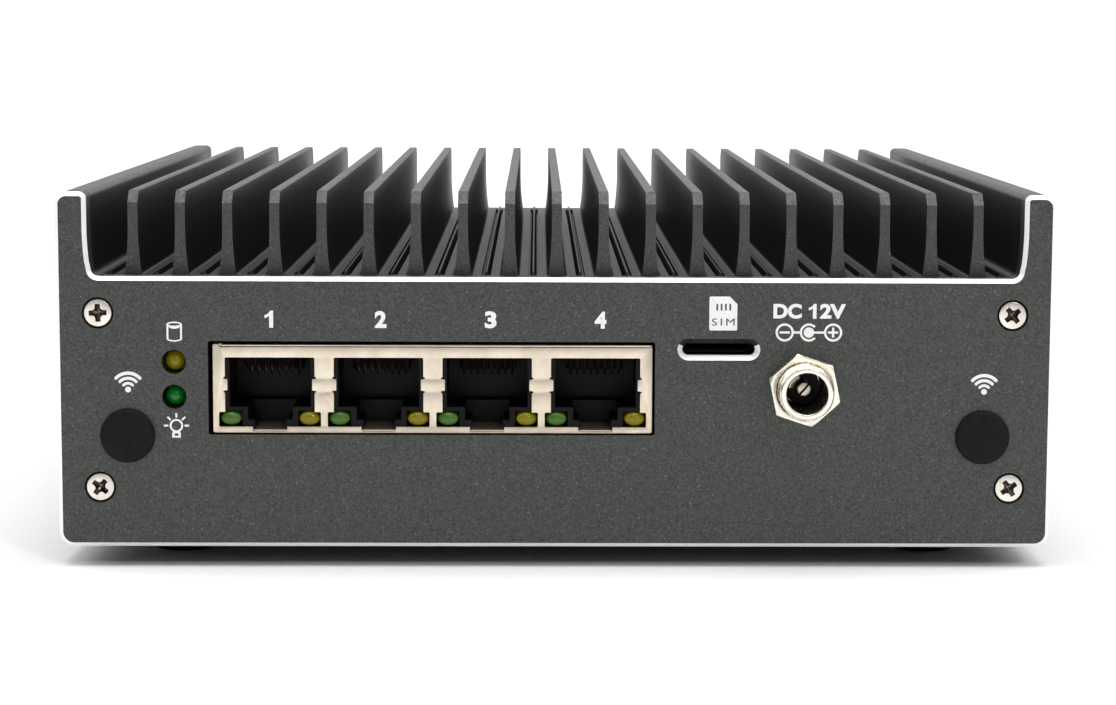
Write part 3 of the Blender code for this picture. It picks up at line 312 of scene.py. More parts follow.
def plated(name, color, dark, roughness, stretch=(1, 1, 1)):
    """A plated metal with slight clouds in its colour and drawn or tumbled marks."""
    made = Finish(name, color, roughness, 1.0)
    marks = made.noise(0.0003, 3.0, stretch)
    clouds = made.noise(0.003, 2.0)
    made.drive("Base Color", made.mix(made.remap(clouds, 0.0, 1.0, (0.35, 0.65)), dark, color))
    made.drive("Roughness", made.remap(marks, roughness * 0.75, roughness * 1.3, (0.3, 0.7)))
    made.bump((marks, 0.0000015))
    return made.material


def moulded(name, color, roughness, gloss=0.35, grain=0.00015, depth=0.000006):
    """A moulded plastic or rubber with a fine matt texture."""
    made = Finish(name, color, roughness, Specular_IOR_Level=gloss)
    texture = made.noise(grain, 2.0)
    light = [value * 1.35 + 0.001 for value in color]
    made.drive("Base Color", made.ramp(made.noise(0.0012, 3.0), (0.35, color), (0.7, light)))
    made.drive("Roughness", made.remap(texture, roughness * 0.85, roughness * 1.15))
    made.bump((texture, depth))
    return made.material


def lens(name, deep, lit):
    """Tinted epoxy with light inside: deep at its edges and lighter at its middle."""
    made = Finish(name, lit, 0.12, Coat_Weight=0.65, Coat_Roughness=0.02, Specular_IOR_Level=0.1)
    haze = made.noise(0.0006, 2.0)
    edge = made.remap(made.facing(0.35), 0.0, 1.0, (0.3, 1.0))
    tint = made.mix(edge, lit, deep)
    cloudy = made.mix(made.remap(haze, 0.0, 0.35), tint, deep)
    made.drive("Base Color", cloudy)
    made.drive("Emission Color", cloudy)
    made.fix("Emission Strength", 0.12)
    made.bump((haze, 0.00001))
    return made.material


def white_print():
    """Silk-screened ink, slightly thin over the blasted grain."""
    made = Finish("white_print", (0.82, 0.83, 0.82), 0.6)
    grain = made.noise(0.00025, 3.0)
    made.drive("Base Color", made.ramp(grain, (0.25, (0.74, 0.75, 0.74)), (0.5, (0.9, 0.9, 0.89))))
    made.bump((grain, 0.000008))
    return made.material


def board_mask():
    """Green solder mask with faint copper tracks under it."""
    made = Finish("solder_mask", (0.02, 0.12, 0.05), 0.35, Coat_Weight=0.4)
    wave = made.nodes.new("ShaderNodeTexBrick")
    wave.inputs["Scale"].default_value = 260.0
    wave.inputs["Mortar Size"].default_value = 0.03
    made.link(made.stretched((1, 1, 1)), wave.inputs["Vector"])
    tracks = wave.outputs["Fac"]
    base = made.ramp(made.noise(0.004, 4.0), (0.3, (0.010, 0.075, 0.030)), (0.7, (0.020, 0.12, 0.045)))
    made.drive("Base Color", made.mix(tracks, base, (0.05, 0.20, 0.07)))
    made.bump((tracks, 0.00002))
    return made.material


BLASTED = blasted_aluminium()
DRAWN_AND_SHADED = drawn_aluminium()
BRIGHT = bare_chamfer()
TIN = plated("tin_plate", (0.79, 0.70, 0.57), (0.70, 0.61, 0.49), 0.40, (1, 1, 0.25))
NICKEL = plated("bright_nickel", (0.92, 0.87, 0.77), (0.85, 0.79, 0.68), 0.24)
SCREW_NICKEL = plated("screw_nickel", (0.83, 0.78, 0.71), (0.70, 0.64, 0.57), 0.3)
# Darker nickel for the screws' cross recesses: painted shade.
SHADED_RECESS = plated("recess_nickel_painted_shade", (0.34, 0.31, 0.27), (0.12, 0.11, 0.095), 0.28)
# Near black for the walls of cut holes and slits and for the card slot chamfer's upper half: painted shade.
SHADED_CUT = plated("shaded_cut", (0.06, 0.06, 0.06), (0.02, 0.02, 0.02), 0.5)
# A darker copy of the nickel for the pin deep in the bore: painted shade.
SHADED_PIN_NICKEL = plated("pin_nickel_painted_shade", (0.62, 0.58, 0.49), (0.42, 0.38, 0.31), 0.3)
# Gold wire darkened for the shade inside the ports: painted shade.
SHADED_CONTACT_GOLD = plated("contact_wire_painted_shade", (0.30, 0.26, 0.19), (0.22, 0.19, 0.14), 0.35, (1, 0.2, 1))
GOLD = plated("gold_plate", (0.83, 0.62, 0.30), (0.72, 0.52, 0.24), 0.28)
ALUMINIUM = plated("milled_aluminium", (0.76, 0.76, 0.77), (0.66, 0.66, 0.67), 0.35, (0.1, 1, 1))
BLACK_PLASTIC = moulded("black_plastic", (0.0018, 0.0018, 0.002), 0.42, 0.16)
RIB_PLASTIC = moulded("rib_plastic", (0.006, 0.006, 0.007), 0.4, 0.3)
RUBBER = moulded("black_rubber", (0.005, 0.0052, 0.0064), 0.55, 0.13, 0.0002, 0.000012)
POWDER_BLACK = moulded("black_powder_coat", (0.022, 0.022, 0.024), 0.55, 0.35, 0.0004, 0.00004)
RESIN = moulded("chip_resin", (0.018, 0.018, 0.019), 0.5)
GREEN_LENS = lens("green_lens", (0.010, 0.045, 0.006), (0.055, 0.135, 0.014))
YELLOW_LENS = lens("yellow_lens", (0.06, 0.05, 0.0), (0.205, 0.17, 0.0))
STATUS_GREEN = lens("status_green_lens", (0.0, 0.03, 0.004), (0.001, 0.14, 0.010))
STATUS_YELLOW = lens("status_yellow_lens", (0.03, 0.027, 0.0), (0.21, 0.185, 0.0))
INK = white_print()
LETTER = moulded("card_letter_ink", (0.045, 0.05, 0.047), 0.6)
MASK = board_mask()


# Shapes


def arc(center_x, center_z, radius, start, end, steps=8):
    """Points along an arc, with its angles in degrees."""
    angles = [math.radians(start + (end - start) * i / steps) for i in range(steps + 1)]
    return [(center_x + radius * math.cos(a), center_z + radius * math.sin(a)) for a in angles]


def ellipse(center_x, center_z, half_width, half_height, start=0, end=360, steps=32):
    angles = [math.radians(start + (end - start) * i / steps) for i in range(steps + 1)]
    if abs(end - start) == 360:
        angles.pop()
    return [(center_x + half_width * math.cos(a), center_z + half_height * math.sin(a)) for a in angles]


def mirrored(points):
    return [(-x, z) for x, z in reversed(points)]


def shifted(points, dx):
    return [(x + dx, z) for x, z in points]


def rectangle(left, bottom, right, top, radius=0.0):
    """A rectangle's outline, anticlockwise, its corners rounded if a radius is given."""
    if not radius:
        return [(left, bottom), (right, bottom), (right, top), (left, top)]
    corners = ((right, bottom, -90), (right, top, 0), (left, top, 90), (left, bottom, 180))
    points = []
    for x, z, start in corners:
        inward_x = -radius if x == right else radius
        inward_z = -radius if z == top else radius
        points += arc(x + inward_x, z + inward_z, radius, start, start + 90, 4)
    return points


def slot_outline(center_x, center_z, width, height):
    radius = height / 2
    reach = width / 2 - radius
    right = arc(center_x + reach, center_z, radius, -90, 90, 12)
    return right + arc(center_x - reach, center_z, radius, 90, 270, 12)


def keep(name, mesh, *materials):
    """A mesh as an object, shaded smooth but for its sharp edges."""
    made = bpy.data.objects.new(name, mesh)
    bpy.context.scene.collection.objects.link(made)
    for material in materials:
        mesh.materials.append(material)
    mesh.shade_smooth()
    mesh.set_sharp_from_angle(angle=SMOOTH_ANGLE)
    return made


def from_bmesh(name, bm, *materials):
    mesh = bpy.data.meshes.new(name)
    bmesh.ops.recalc_face_normals(bm, faces=bm.faces)
    bm.to_mesh(mesh)
    bm.free()
    return keep(name, mesh, *materials)


def settle(obj):
    """Applies modifiers and transforms, so that the mesh lies in the frame's coordinates."""
    bpy.context.view_layer.update()
    graph = bpy.context.evaluated_depsgraph_get()
    mesh = bpy.data.meshes.new_from_object(obj.evaluated_get(graph))
    mesh.transform(obj.matrix_world)
    name = obj.name
    bpy.data.objects.remove(obj)
    return keep(name, mesh)


def block(name, low, high, *materials, rounding=0.0, segments=2):
    """A box between two corners, with rounded edges if asked."""
    bm = bmesh.new()
    bmesh.ops.create_cube(bm, size=1)
    bmesh.ops.scale(bm, vec=[b - a for a, b in zip(low, high)], verts=bm.verts)
    bmesh.ops.translate(bm, vec=[(a + b) / 2 for a, b in zip(low, high)], verts=bm.verts)
    if rounding:
        bmesh.ops.bevel(
            bm, geom=bm.edges[:], offset=rounding, segments=segments, profile=0.5, affect="EDGES"
        )
    return from_bmesh(name, bm, *materials)


def centred(name, x, half, y, z, *materials, **edges):
    """A box with its middle at x, between two depths and two heights."""
    return block(name, (x - half, y[0], z[0]), (x + half, y[1], z[1]), *materials, **edges)


def skin(bm, rings, bands=None, closed=True):
    """Joins rings of points in turn, where one point alone is a tip, and gives back their vertices."""
    loops = [[bm.verts.new(point) for point in ring] for ring in rings]
    for index, (near, far) in enumerate(zip(loops, loops[1:])):
        count = max(len(near), len(far))
        for i in range(count if closed else count - 1):
            j = (i + 1) % count
            corners = [near[i % len(near)], near[j % len(near)], far[j % len(far)], far[i % len(far)]]
            corners = list(dict.fromkeys(corners))
            if len(corners) > 2:
                bm.faces.new(corners).material_index = bands[index] if bands else 0
    return loops


def circle(radius, height, steps):
    """Points round the axis, or one point where the radius is 0."""
    turns = [2 * math.pi * i / steps for i in range(steps if radius else 1)]
    return [(radius * math.cos(a), radius * math.sin(a), height) for a in turns]


def turned(name, profile, place, facing, *materials, steps=64):
    """A profile of (radius, height) points turned about its axis, and put in its place."""
    bm = bmesh.new()
    skin(bm, [circle(radius, height, steps) for radius, height in profile])
    bmesh.ops.remove_doubles(bm, verts=bm.verts, dist=MERGE)
    made = from_bmesh(name, bm, *materials)
    made.data.transform(Matrix.Translation(place) @ facing)
    return made


def loft(name, rings, *materials, bands=None):
    """Flat outlines at several depths, joined in turn and capped at both ends."""
    bm = bmesh.new()
    loops = skin(bm, [[(x, y, z) for x, z in outline] for y, outline in rings], bands)
    bm.faces.new(loops[0])
    bm.faces.new(loops[-1])
    return from_bmesh(name, bm, *materials)


PLANES = {
    "XZ": (FRONTWARD, Vector((0, 1, 0))),
    "YZ": (Matrix.Rotation(math.radians(90), 4, "Z") @ FRONTWARD, Vector((1, 0, 0))),
}


def curve_mesh(name, curve):
    """The surface that Blender makes of a curve or a text."""
    guide = bpy.data.objects.new(name + "_guide", curve)
    bpy.context.scene.collection.objects.link(guide)
    bpy.context.view_layer.update()
    graph = bpy.context.evaluated_depsgraph_get()
    mesh = bpy.data.meshes.new_from_object(guide.evaluated_get(graph))
    bpy.data.objects.remove(guide)
    return mesh


def merged(name, mesh, *materials):
    """A mesh as an object, with its doubled points merged."""
    bm = bmesh.new()
    bm.from_mesh(mesh)
    bpy.data.meshes.remove(mesh)
    bmesh.ops.remove_doubles(bm, verts=bm.verts, dist=MERGE)
    return from_bmesh(name, bm, *materials)


def prism(name, outlines, plane, low, high, *materials, rounding=0.0):
    """Flat outlines filled and extruded; an outline inside another is a hole."""
    curve = bpy.data.curves.new(name, "CURVE")
    curve.dimensions = "2D"
    curve.fill_mode = "BOTH"
    curve.extrude = (high - low) / 2 - rounding
    curve.bevel_depth = rounding
    curve.bevel_resolution = 1
    curve.offset = -rounding
    for outline in outlines:
        spline = curve.splines.new("POLY")
        spline.points.add(len(outline) - 1)
        for point, (across, along) in zip(spline.points, outline):
            point.co = (across, along, 0, 1)
        spline.use_cyclic_u = True
    facing, axis = PLANES[plane]
    mesh = curve_mesh(name, curve)
    mesh.transform(Matrix.Translation(axis * (low + high) / 2) @ facing)
    return merged(name, mesh, *materials)


def carve(target, *cutters):
    """Cuts these objects from a piece and removes them."""
    for cutter in cutters:
        modifier = target.modifiers.new("carve", "BOOLEAN")
        modifier.operation = "DIFFERENCE"
        modifier.object = cutter
        modifier.material_mode = "TRANSFER"
    made = settle(target)
    for cutter in cutters:
        bpy.data.objects.remove(cutter)
    return made


def unite(target, *others):
    """Puts these objects' meshes into one piece as they are."""
    bm = bmesh.new()
    materials = list(target.data.materials)
    for part in (target, *others):
        mesh = part.data
        for material in mesh.materials:
            if material not in materials:
                materials.append(material)
        order = [materials.index(material) for material in mesh.materials]
        first = len(bm.faces)
        bm.from_mesh(mesh)
        bm.faces.ensure_lookup_table()
        for face in bm.faces[first:]:
            face.material_index = order[face.material_index] if order else 0
    name = target.name
    for part in (target, *others):
        bpy.data.objects.remove(part)
    mesh = bpy.data.meshes.new(name)
    bm.to_mesh(mesh)
    bm.free()
    return keep(name, mesh, *materials)


def softened(obj, width, segments=2):
    """Rounds a piece's sharp edges."""
    bevel = obj.modifiers.new("rounding", "BEVEL")
    bevel.width = width
    bevel.segments = segments
    bevel.limit_method = "ANGLE"
    bevel.angle_limit = math.radians(40)
    bevel.use_clamp_overlap = True
    return settle(obj)


def piece(obj, slot, *nodes, body="appliance"):
    """Puts a finished piece under its body's empty, and hides the CAD nodes that it stands for."""
    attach(obj, body)
    if nodes:
        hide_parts(*nodes)
    return obj


# Enclosure


def flare(z):
    """0 where the fins start to widen, growing to 1 at the foot's fillet."""
    drop = max(0.0, (FLARE_START - z) / (FLARE_START - VALLEY - FIN_FILLET))
    return min(1.0, drop) ** 2


def flare_heights(foot):
    return [FLARE_START + (foot - FLARE_START) * i / 6 for i in range(6)]


def wall_outline(inset=0.0):
    """The right edge of the panels and the extrusion, from the foot to the valley."""
    inner = HALF_WIDTH - EAR_WIDTH
    outer = HALF_WIDTH - EAR_OUTER_RADIUS
    points = arc(HALF_WIDTH - BOTTOM_RADIUS, BASE + BOTTOM_RADIUS, BOTTOM_RADIUS - inset, -90, 0)
    points += arc(outer, TOP - EAR_OUTER_RADIUS, EAR_OUTER_RADIUS - inset, 0, 90)
    points += arc(inner + EAR_INNER_RADIUS, TOP - EAR_INNER_RADIUS, EAR_INNER_RADIUS - inset, 90, 180)
    foot = VALLEY + FOOT_FILLET
    for z in flare_heights(foot):
        points.append((inner + inset - WALL_FLARE * flare(z), z))
    points += arc(inner - WALL_FLARE - FOOT_FILLET, foot, FOOT_FILLET + inset, 0, -90)
    return points


def fin_side():
    """The right side of a fin centred on x = 0, from its top to its foot."""
    half = FIN_THICKNESS / 2
    points = arc(half - FIN_ROUNDING, TOP - FIN_ROUNDING, FIN_ROUNDING, 80, 0, 3)
    foot = VALLEY + FIN_FILLET
    points += [(half + FIN_FLARE * flare(z), z) for z in flare_heights(foot)]
    return points + arc(half + FIN_FLARE + FIN_FILLET, foot, FIN_FILLET, 180, 270, 4)


def groove():
    """The groove along the middle of a valley, with its thin ridge, from left to right."""
    floor = VALLEY - GROOVE_DEPTH
    left = [(-GROOVE_HALF, VALLEY), (-GROOVE_HALF, floor), (-RIDGE_FOOT, floor)]
    left.append((-RIDGE_TIP, VALLEY + RIDGE_HEIGHT))
    return left + mirrored(left)


def extrusion_outline():
    """The whole section, anticlockwise from the foot of the right wall."""
    right = wall_outline()
    points = list(right)
    side = fin_side()
    centers = [(i - (FIN_COUNT - 1) / 2) * FIN_PITCH for i in range(FIN_COUNT)]
    for x in reversed(centers):
        points += reversed(shifted(groove(), x + FIN_PITCH / 2))
        points += shifted(reversed(side), x)
        points += shifted([(-dx, z) for dx, z in side], x)
    points += reversed(shifted(groove(), centers[0] - FIN_PITCH / 2))
    points += mirrored(right)
    wall = HALF_WIDTH - WALL
    inside = [(wall, ROOF_UNDERSIDE), (wall, BASE)]
    return points + mirrored(inside) + inside


def heatsink():
    low = INNER_FRONT + SEAM
    high = INNER_REAR - SEAM
    shell = prism("finned_shell", [extrusion_outline()], "XZ", low, high, BLASTED)
    span = FIN_COUNT * FIN_PITCH / 2
    over = 0.001
    cutters = []
    for name, y, inward in (("front", low, 1), ("rear", high, -1)):
        corner = [
            (y - over * inward, TOP + over),
            (y - over * inward, TOP - FIN_CORNER - over),
            (y + (FIN_CORNER + over) * inward, TOP + over),
        ]
        cutters.append(prism(f"corner_{name}", [corner], "YZ", -span, span, BLASTED))
    shell = carve(shell, *cutters)
    # Fin sides and valley floors take the darker finish: painted shade between the fins.
    shell.data.materials.append(DRAWN_AND_SHADED)
    drawn = len(shell.data.materials) - 1
    pocket = HALF_WIDTH - EAR_WIDTH + 0.0001
    for face in shell.data.polygons:
        x, _, z = face.center
        between_fins = abs(x) < pocket and VALLEY - 0.002 < z < TOP - 0.0003
        if between_fins and abs(face.normal.y) < 0.3:
            face.material_index = drawn
    piece(shell, "anodised_aluminium", "heatsink_shell")


def screw_sink(name, place, facing):
    """A cutter for a countersunk hole."""
    over = 0.0005
    profile = [(0, over), (SCREW_SINK_RADIUS, over), (SCREW_SINK_RADIUS, -0.0004)]
    profile += [(0.0013, -0.0014), (0.0013, -0.006), (0, -0.006)]
    return turned(name, profile, place, facing, BLASTED, steps=48)


def screws(stem, facing, axis, face):
    """Countersunk nickel screws, each turned its own way; gives back cutters for their holes."""
    sinks = []
    for index, turn in enumerate(SCREW_TURNS[stem], 1):
        node = f"{stem}_{index}"
        place = center_of(node)
        place[axis] = face
        piece(screw(node + "_detail", place, facing, turn), "nickel_screws", node)
        sinks.append(screw_sink(node + "_sink", place, facing))
    return sinks


def screw(name, place, facing, turn):
    face = -0.00012
    rim = 0.00012
    neck = face - 0.0011
    profile = [(0, face + 0.00006), (SCREW_RADIUS * 0.6, face + 0.00004)]
    profile += arc(SCREW_RADIUS - rim, face - rim, rim, 90, 0, 4)
    profile += [(0.0010, neck)]
    for i in range(16):
        depth = neck - 0.0005 * i
        profile += [(0.0010, depth - 0.0001), (0.00085, depth - 0.00035)]
    profile.append((0, profile[-1][1]))
    head = turned(name, profile, (0, 0, 0), Matrix.Identity(4), SCREW_NICKEL, steps=48)
    cross = []
    for quarter in range(4):
        angle = math.radians(90 * quarter)
        for x, y in ((0.00130, 0.00036), (0.00066, 0.00040), (0.00040, 0.00066), (0.00036, 0.00130)):
            across = x * math.cos(angle) - y * math.sin(angle)
            along = x * math.sin(angle) + y * math.cos(angle)
            cross.append((across, along))
    rings = []
    for depth, scale in ((0.0002, 1.06), (-0.0002, 0.96), (-0.0009, 0.62), (-0.0013, 0.12)):
        rings.append((depth, [(x * scale, y * scale) for x, y in cross]))
    # The cross recess's walls take the darker nickel: painted shade.
    cutter = loft(name + "_recess", rings, SHADED_RECESS)
    cutter.data.transform(Matrix.Rotation(math.radians(turn), 4, "Z") @ REARWARD.inverted())
    head = carve(head, cutter)
    head.data.transform(Matrix.Translation(place) @ facing)
    return head


def end_panel(name, outer, inner, facing, stem):
    """A panel with ears, its outer edge cut to a bright chamfer, and cutters for its screws."""
    inward = 1 if inner > outer else -1
    soft = 0.0002
    rings = []
    for y, inset in (
        (outer, CHAMFER),
        (outer + CHAMFER * inward, 0),
        (inner - soft * inward, 0),
        (inner, soft),
    ):
        right = wall_outline(inset)
        rings.append((y, right + mirrored(right)))
    panel = loft(name, rings, BLASTED, BRIGHT, bands=(1, 0, 0))
    return panel, screws(stem, facing, 1, outer)


def rod(name, radius, center, low, high):
    """A round cutter along Y."""
    return prism(name, [ellipse(center.x, center.z, radius, radius, steps=48)], "XZ", low, high, BLASTED)


def front_panel():
    panel, holes = end_panel("front_plate", FRONT, INNER_FRONT, FRONTWARD, "front_panel_screw")
    through = (FRONT - PASS, INNER_FRONT + PASS)
    left, right, bottom, top = JACK_GAPS
    jack = rectangle(
        JACK.low.x - left, JACK.low.z - bottom, JACK.high.x + right, JACK.high.z + top, 0.00035
    )
    width, height = CARD_SLOT
    slot = slot_outline(CARD.x, CARD.z, width, height)
    over = 0.0003
    grow = 2 * (CARD_CHAMFER + over)
    mouth = slot_outline(CARD.x, CARD.z, width + grow, height + grow)
    rings = [(FRONT - over, mouth), (FRONT + CARD_CHAMFER, slot)]
    chamfer = loft("card_chamfer", rings, BRIGHT, SHADED_CUT)
    # The chamfer's upper half is near black, painted shade; its lower half is bright cut metal.
    for face in chamfer.data.polygons:
        face.material_index = int(face.center.z > CARD.z + 0.0008)
    holes += [
        prism("jack_cutout", [jack], "XZ", *through, SHADED_CUT),
        prism("card_slot", [slot], "XZ", *through, SHADED_CUT),
        chamfer,
        rod("inlet_hole", THREAD_RADIUS + 0.0002, INLET, *through),
    ]
    for node in ("storage_led", "power_led"):
        holes.append(rod(node + "_hole", STATUS_HOLE, center_of(node), *through))
    for node in ANTENNA_PLUGS:
        holes.append(rod(node + "_hole", 0.0032, center_of(node), *through))
    piece(carve(panel, *holes), "anodised_aluminium", "front_panel")


def bottom_plate():
    plate = block("base_plate", PLATE.low, PLATE.high, POWDER_BLACK, rounding=0.0003)
    holes = screws("bottom_screw", DOWNWARD, 2, BASE)
    piece(carve(plate, *holes), "black_steel", "bottom_plate")


def feet():
    """Round rubber feet with a shallow dish and a moulded ring in their underside."""
    for index in range(1, 5):
        foot = Node(f"rubber_foot_{index}")
        radius = foot.radius
        height = foot.high.z - foot.low.z
        profile = [(0, -0.0005), (0.0015, -0.0005), (0.0017, -0.0003), (0.0021, -0.0003)]
        profile += [(0.0023, 0), (radius - 0.0009, 0)]
        profile += arc(radius - 0.0009, -0.0008, 0.0008, 90, 10, 6)
        profile += [(radius, -height), (0, -height)]
        place = (foot.center.x, foot.center.y, foot.low.z)
        made = turned(foot.name + "_detail", profile, place, DOWNWARD, RUBBER)
        piece(made, "black_rubber", foot.name)


# Front parts


def antenna_plugs():
    for node in ANTENNA_PLUGS:
        plug = Node(node)
        radius = plug.radius
        rise = FRONT - plug.low.y
        soft = 0.0006
        profile = [(0, rise), (radius * 0.4, rise - 0.00002), (radius * 0.7, rise - 0.0001)]
        profile += arc(radius - soft, rise - soft - 0.00018, soft, 80, 0, 8)
        profile += [(radius, SEAM), (0.0031, SEAM), (0.0031, -0.0043), (0.0036, -0.0045)]
        profile += [(0.0028, -0.0055), (0, -0.0055)]
        made = turned(node + "_detail", profile, on_front(plug.center), FRONTWARD, RUBBER)
        piece(made, "black_rubber", node)


def status_lamps():
    for node, material, slot in (
        ("storage_led", STATUS_YELLOW, "yellow_lens"),
        ("power_led", STATUS_GREEN, "green_lens"),
    ):
        lamp = Node(node)
        radius = lamp.radius
        flange = radius + 0.0002
        profile = arc(0, FRONT - lamp.low.y - radius, radius, 90, 0, 12)
        profile += [(radius, -0.0050), (flange, -0.0050), (flange, -0.0060), (0, -0.0060)]
        place = on_front(lamp.center)
        made = turned(node + "_lens", profile, place, FRONTWARD, material, steps=40)
        piece(made, slot, node)


def port_centers():
    middle = (PORT_COUNT - 1) / 2
    return [PORT_MIDDLE + (i - middle) * PORT_PITCH for i in range(PORT_COUNT)]


def port_opening(center_x):
    """One port's opening in the shield, with tabs, their reliefs, the lamp band and a notch."""
    low, high = TABS
    relief = 0.0003
    right = [
        (NOTCH_HALF - 0.00015, NOTCH_BOTTOM),
        (NOTCH_HALF, NOTCH_BOTTOM + 0.0002),
        (NOTCH_HALF, LAMP_BAND[0]),
        *arc(LAMP_BAND_HALF - 0.0002, LAMP_BAND[0] + 0.0002, 0.0002, -90, 0, 3),
        *arc(LAMP_BAND_HALF - 0.0002, LAMP_BAND[1] - 0.0002, 0.0002, 0, 90, 3),
        (PORT_HALF, LAMP_BAND[1]),
        (PORT_HALF, low - relief),
        (PORT_HALF + TAB_RELIEF, low - relief * 0.6),
        (PORT_HALF + TAB_RELIEF, low),
        (PORT_HALF - TAB_REACH, low + 0.0001),
        (PORT_HALF - TAB_REACH, high - 0.0001),
        (PORT_HALF + TAB_RELIEF, high),
        (PORT_HALF + TAB_RELIEF, high + relief * 0.6),
        (PORT_HALF, high + relief),
        *arc(PORT_HALF - 0.0002, PORT_TOP - 0.0002, 0.0002, 0, 90, 3),
    ]
    return shifted(right + mirrored(right), center_x)


def lan_shield():
    """The jack's folded shield: a face with four openings, a folded top edge and a can."""
    face = JACK.low.y
    low, high = JACK.low, JACK.high
    soft = 0.00004
    fold_start = low.x + 0.0011
    outline = [
        (low.x + 0.0002, low.z),
        (high.x - 0.0002, low.z),
        (high.x, low.z + 0.0002),
        (high.x, high.z - FOLD),
        (fold_start, high.z - FOLD),
        (fold_start - 0.0002, high.z - 0.00018),
        (fold_start - 0.0004, high.z),
        (low.x + 0.0002, high.z),
        (low.x, high.z - 0.0002),
        (low.x, low.z + 0.0002),
    ]
    openings = [port_opening(x) for x in port_centers()]
    front = prism("lan_shield_detail", [outline, *openings], "XZ", face, face + SHEET, TIN, rounding=soft)
    bend = block(
        "bend",
        (fold_start + 0.0001, face + 0.00004, high.z - FOLD + 0.00007),
        (high.x, face + 0.0008, high.z),
        TIN,
        rounding=0.00016,
        segments=3,
    )
    outer = rectangle(low.x, low.z, high.x, high.z, 0.0002)
    inner = rectangle(low.x + SHEET, low.z + SHEET, high.x - SHEET, high.z - SHEET, 0.0001)
    can = prism("can", [outer, inner], "XZ", face + SHEET + 0.0001, high.y - SHEET, TIN)
    back = block("back", (low.x, high.y - SHEET, low.z), high, TIN, rounding=0.0001)
    return piece(unite(front, bend, can, back), "tin_plated_shield", "lan_jack_shield")


def port_cutters(name, x, face, inward, bottom, top):
    """One port's plug space and the stepped channel for its latch, behind a face at this y."""
    lap = 0.0003
    for part, half, depth, low, high in (
        ("space", PLUG_HALF, PLUG_DEPTH, PLUG_FLOOR, top),
        ("wide", LATCH_HALF, LATCH_DEPTH, LATCH_STEP, PLUG_FLOOR + lap),
        ("narrow", LATCH_TIP_HALF, LATCH_DEPTH, bottom, LATCH_STEP + lap),
    ):
        depths = sorted((face - PASS * inward, face + depth * inward))
        yield centred(f"{name}_{part}", x, half, depths, (low, high))


def moulding(name, low, high, cutters):
    """A black block between two corners, with these spaces cut out and its edges softened."""
    return softened(carve(block(name, low, high, BLACK_PLASTIC), *cutters), 0.00009, 1)


def comb(name, x, face, roof):
    """The thin ribs between a port's contact wires, under its roof."""
    outline = [
        (face + 0.0012, roof),
        (face + 0.0012, roof - 0.0006),
        (face + 0.0085, roof - 0.0030),
        (face + 0.0100, roof - 0.0030),
        (face + 0.0100, roof),
    ]
    half = 0.00017
    for number in range(CONTACT_COUNT + 1):
        middle = x + (number - CONTACT_COUNT / 2) * CONTACT_PITCH
        yield prism(f"{name}_rib_{number}", [outline], "YZ", middle - half, middle + half, RIB_PLASTIC)


def contact_wires(name, x, face, roof):
    """Eight sprung wires that slant down and back between the ribs."""
    wires = []
    path = [
        (face + 0.0016, roof - 0.0002),
        (face + 0.0022, roof - 0.0005),
        (face + 0.0088, roof - 0.0037),
        (face + 0.0092, roof - 0.0034),
        (face + 0.0093, roof - 0.0002),
    ]
    for number in range(CONTACT_COUNT):
        middle = x + (number - (CONTACT_COUNT - 1) / 2) * CONTACT_PITCH
        curve = bpy.data.curves.new(f"{name}_{number}", "CURVE")
        curve.dimensions = "3D"
        curve.bevel_depth = WIRE_RADIUS
        curve.bevel_resolution = 2
        curve.use_fill_caps = True
        spline = curve.splines.new("POLY")
        spline.points.add(len(path) - 1)
        for point, (y, z) in zip(spline.points, path):
            point.co = (middle, y, z, 1)
        wires.append(keep(f"{name}_{number}", curve_mesh(name, curve), SHADED_CONTACT_GOLD))
    return unite(*wires)


def lan_housing():
    """The jack's black moulding, with pockets for plugs, latches and lamps."""
    margin = Vector((1, 1, 1)) * (SHEET + SLIP)
    low = JACK.low + margin
    face = low.y
    roof = PORT_TOP + 0.0003
    cutters = []
    ribs = []
    for index, x in enumerate(port_centers(), 1):
        cutters += port_cutters(f"port_{index}", x, face, 1, BASE + 0.0165, roof)
        for color in ("green", "yellow"):
            lamp = Node(f"lan_{color}_led_{index}")
            near = (lamp.low.x - LAMP_GAP, face - PASS, lamp.low.z - 0.0004)
            far = (lamp.high.x + LAMP_GAP, lamp.high.y + 0.0003, lamp.high.z + LAMP_GAP)
            cutters.append(block(lamp.name + "_pocket", near, far))
        ribs += comb(f"port_{index}", x, face, roof)
        wires = contact_wires(f"lan_wires_{index}", x, face, roof - 0.0001)
        piece(wires, "gold_contacts", f"lan_contacts_{index}")
    body = moulding("lan_housing_detail", low, JACK.high - margin, cutters)
    piece(unite(body, *ribs), "black_plastic", "lan_jack_housing")


def lamp_lens(name, node, material):
    """An oval lens with a domed front."""
    lamp = Node(node)
    half_height = (lamp.high.z - lamp.low.z) / 2
    dome = 0.0010
    steps = 8
    rings = []
    for step in range(steps + 1):
        angle = math.radians(86 - 86 * step / steps)
        rings.append((lamp.low.y + dome * (1 - math.sin(angle)), math.cos(angle)))
    rings.append((lamp.high.y, 1))
    middle = (lamp.center.x, lamp.center.z)
    outlines = [(y, ellipse(*middle, lamp.radius * scale, half_height * scale)) for y, scale in rings]
    return loft(name, outlines, material)


def lan_lamps():
    for index in range(1, PORT_COUNT + 1):
        for color, material in (("green", GREEN_LENS), ("yellow", YELLOW_LENS)):
            node = f"lan_{color}_led_{index}"
            piece(lamp_lens(node + "_lens", node, material), color + "_lens", node)


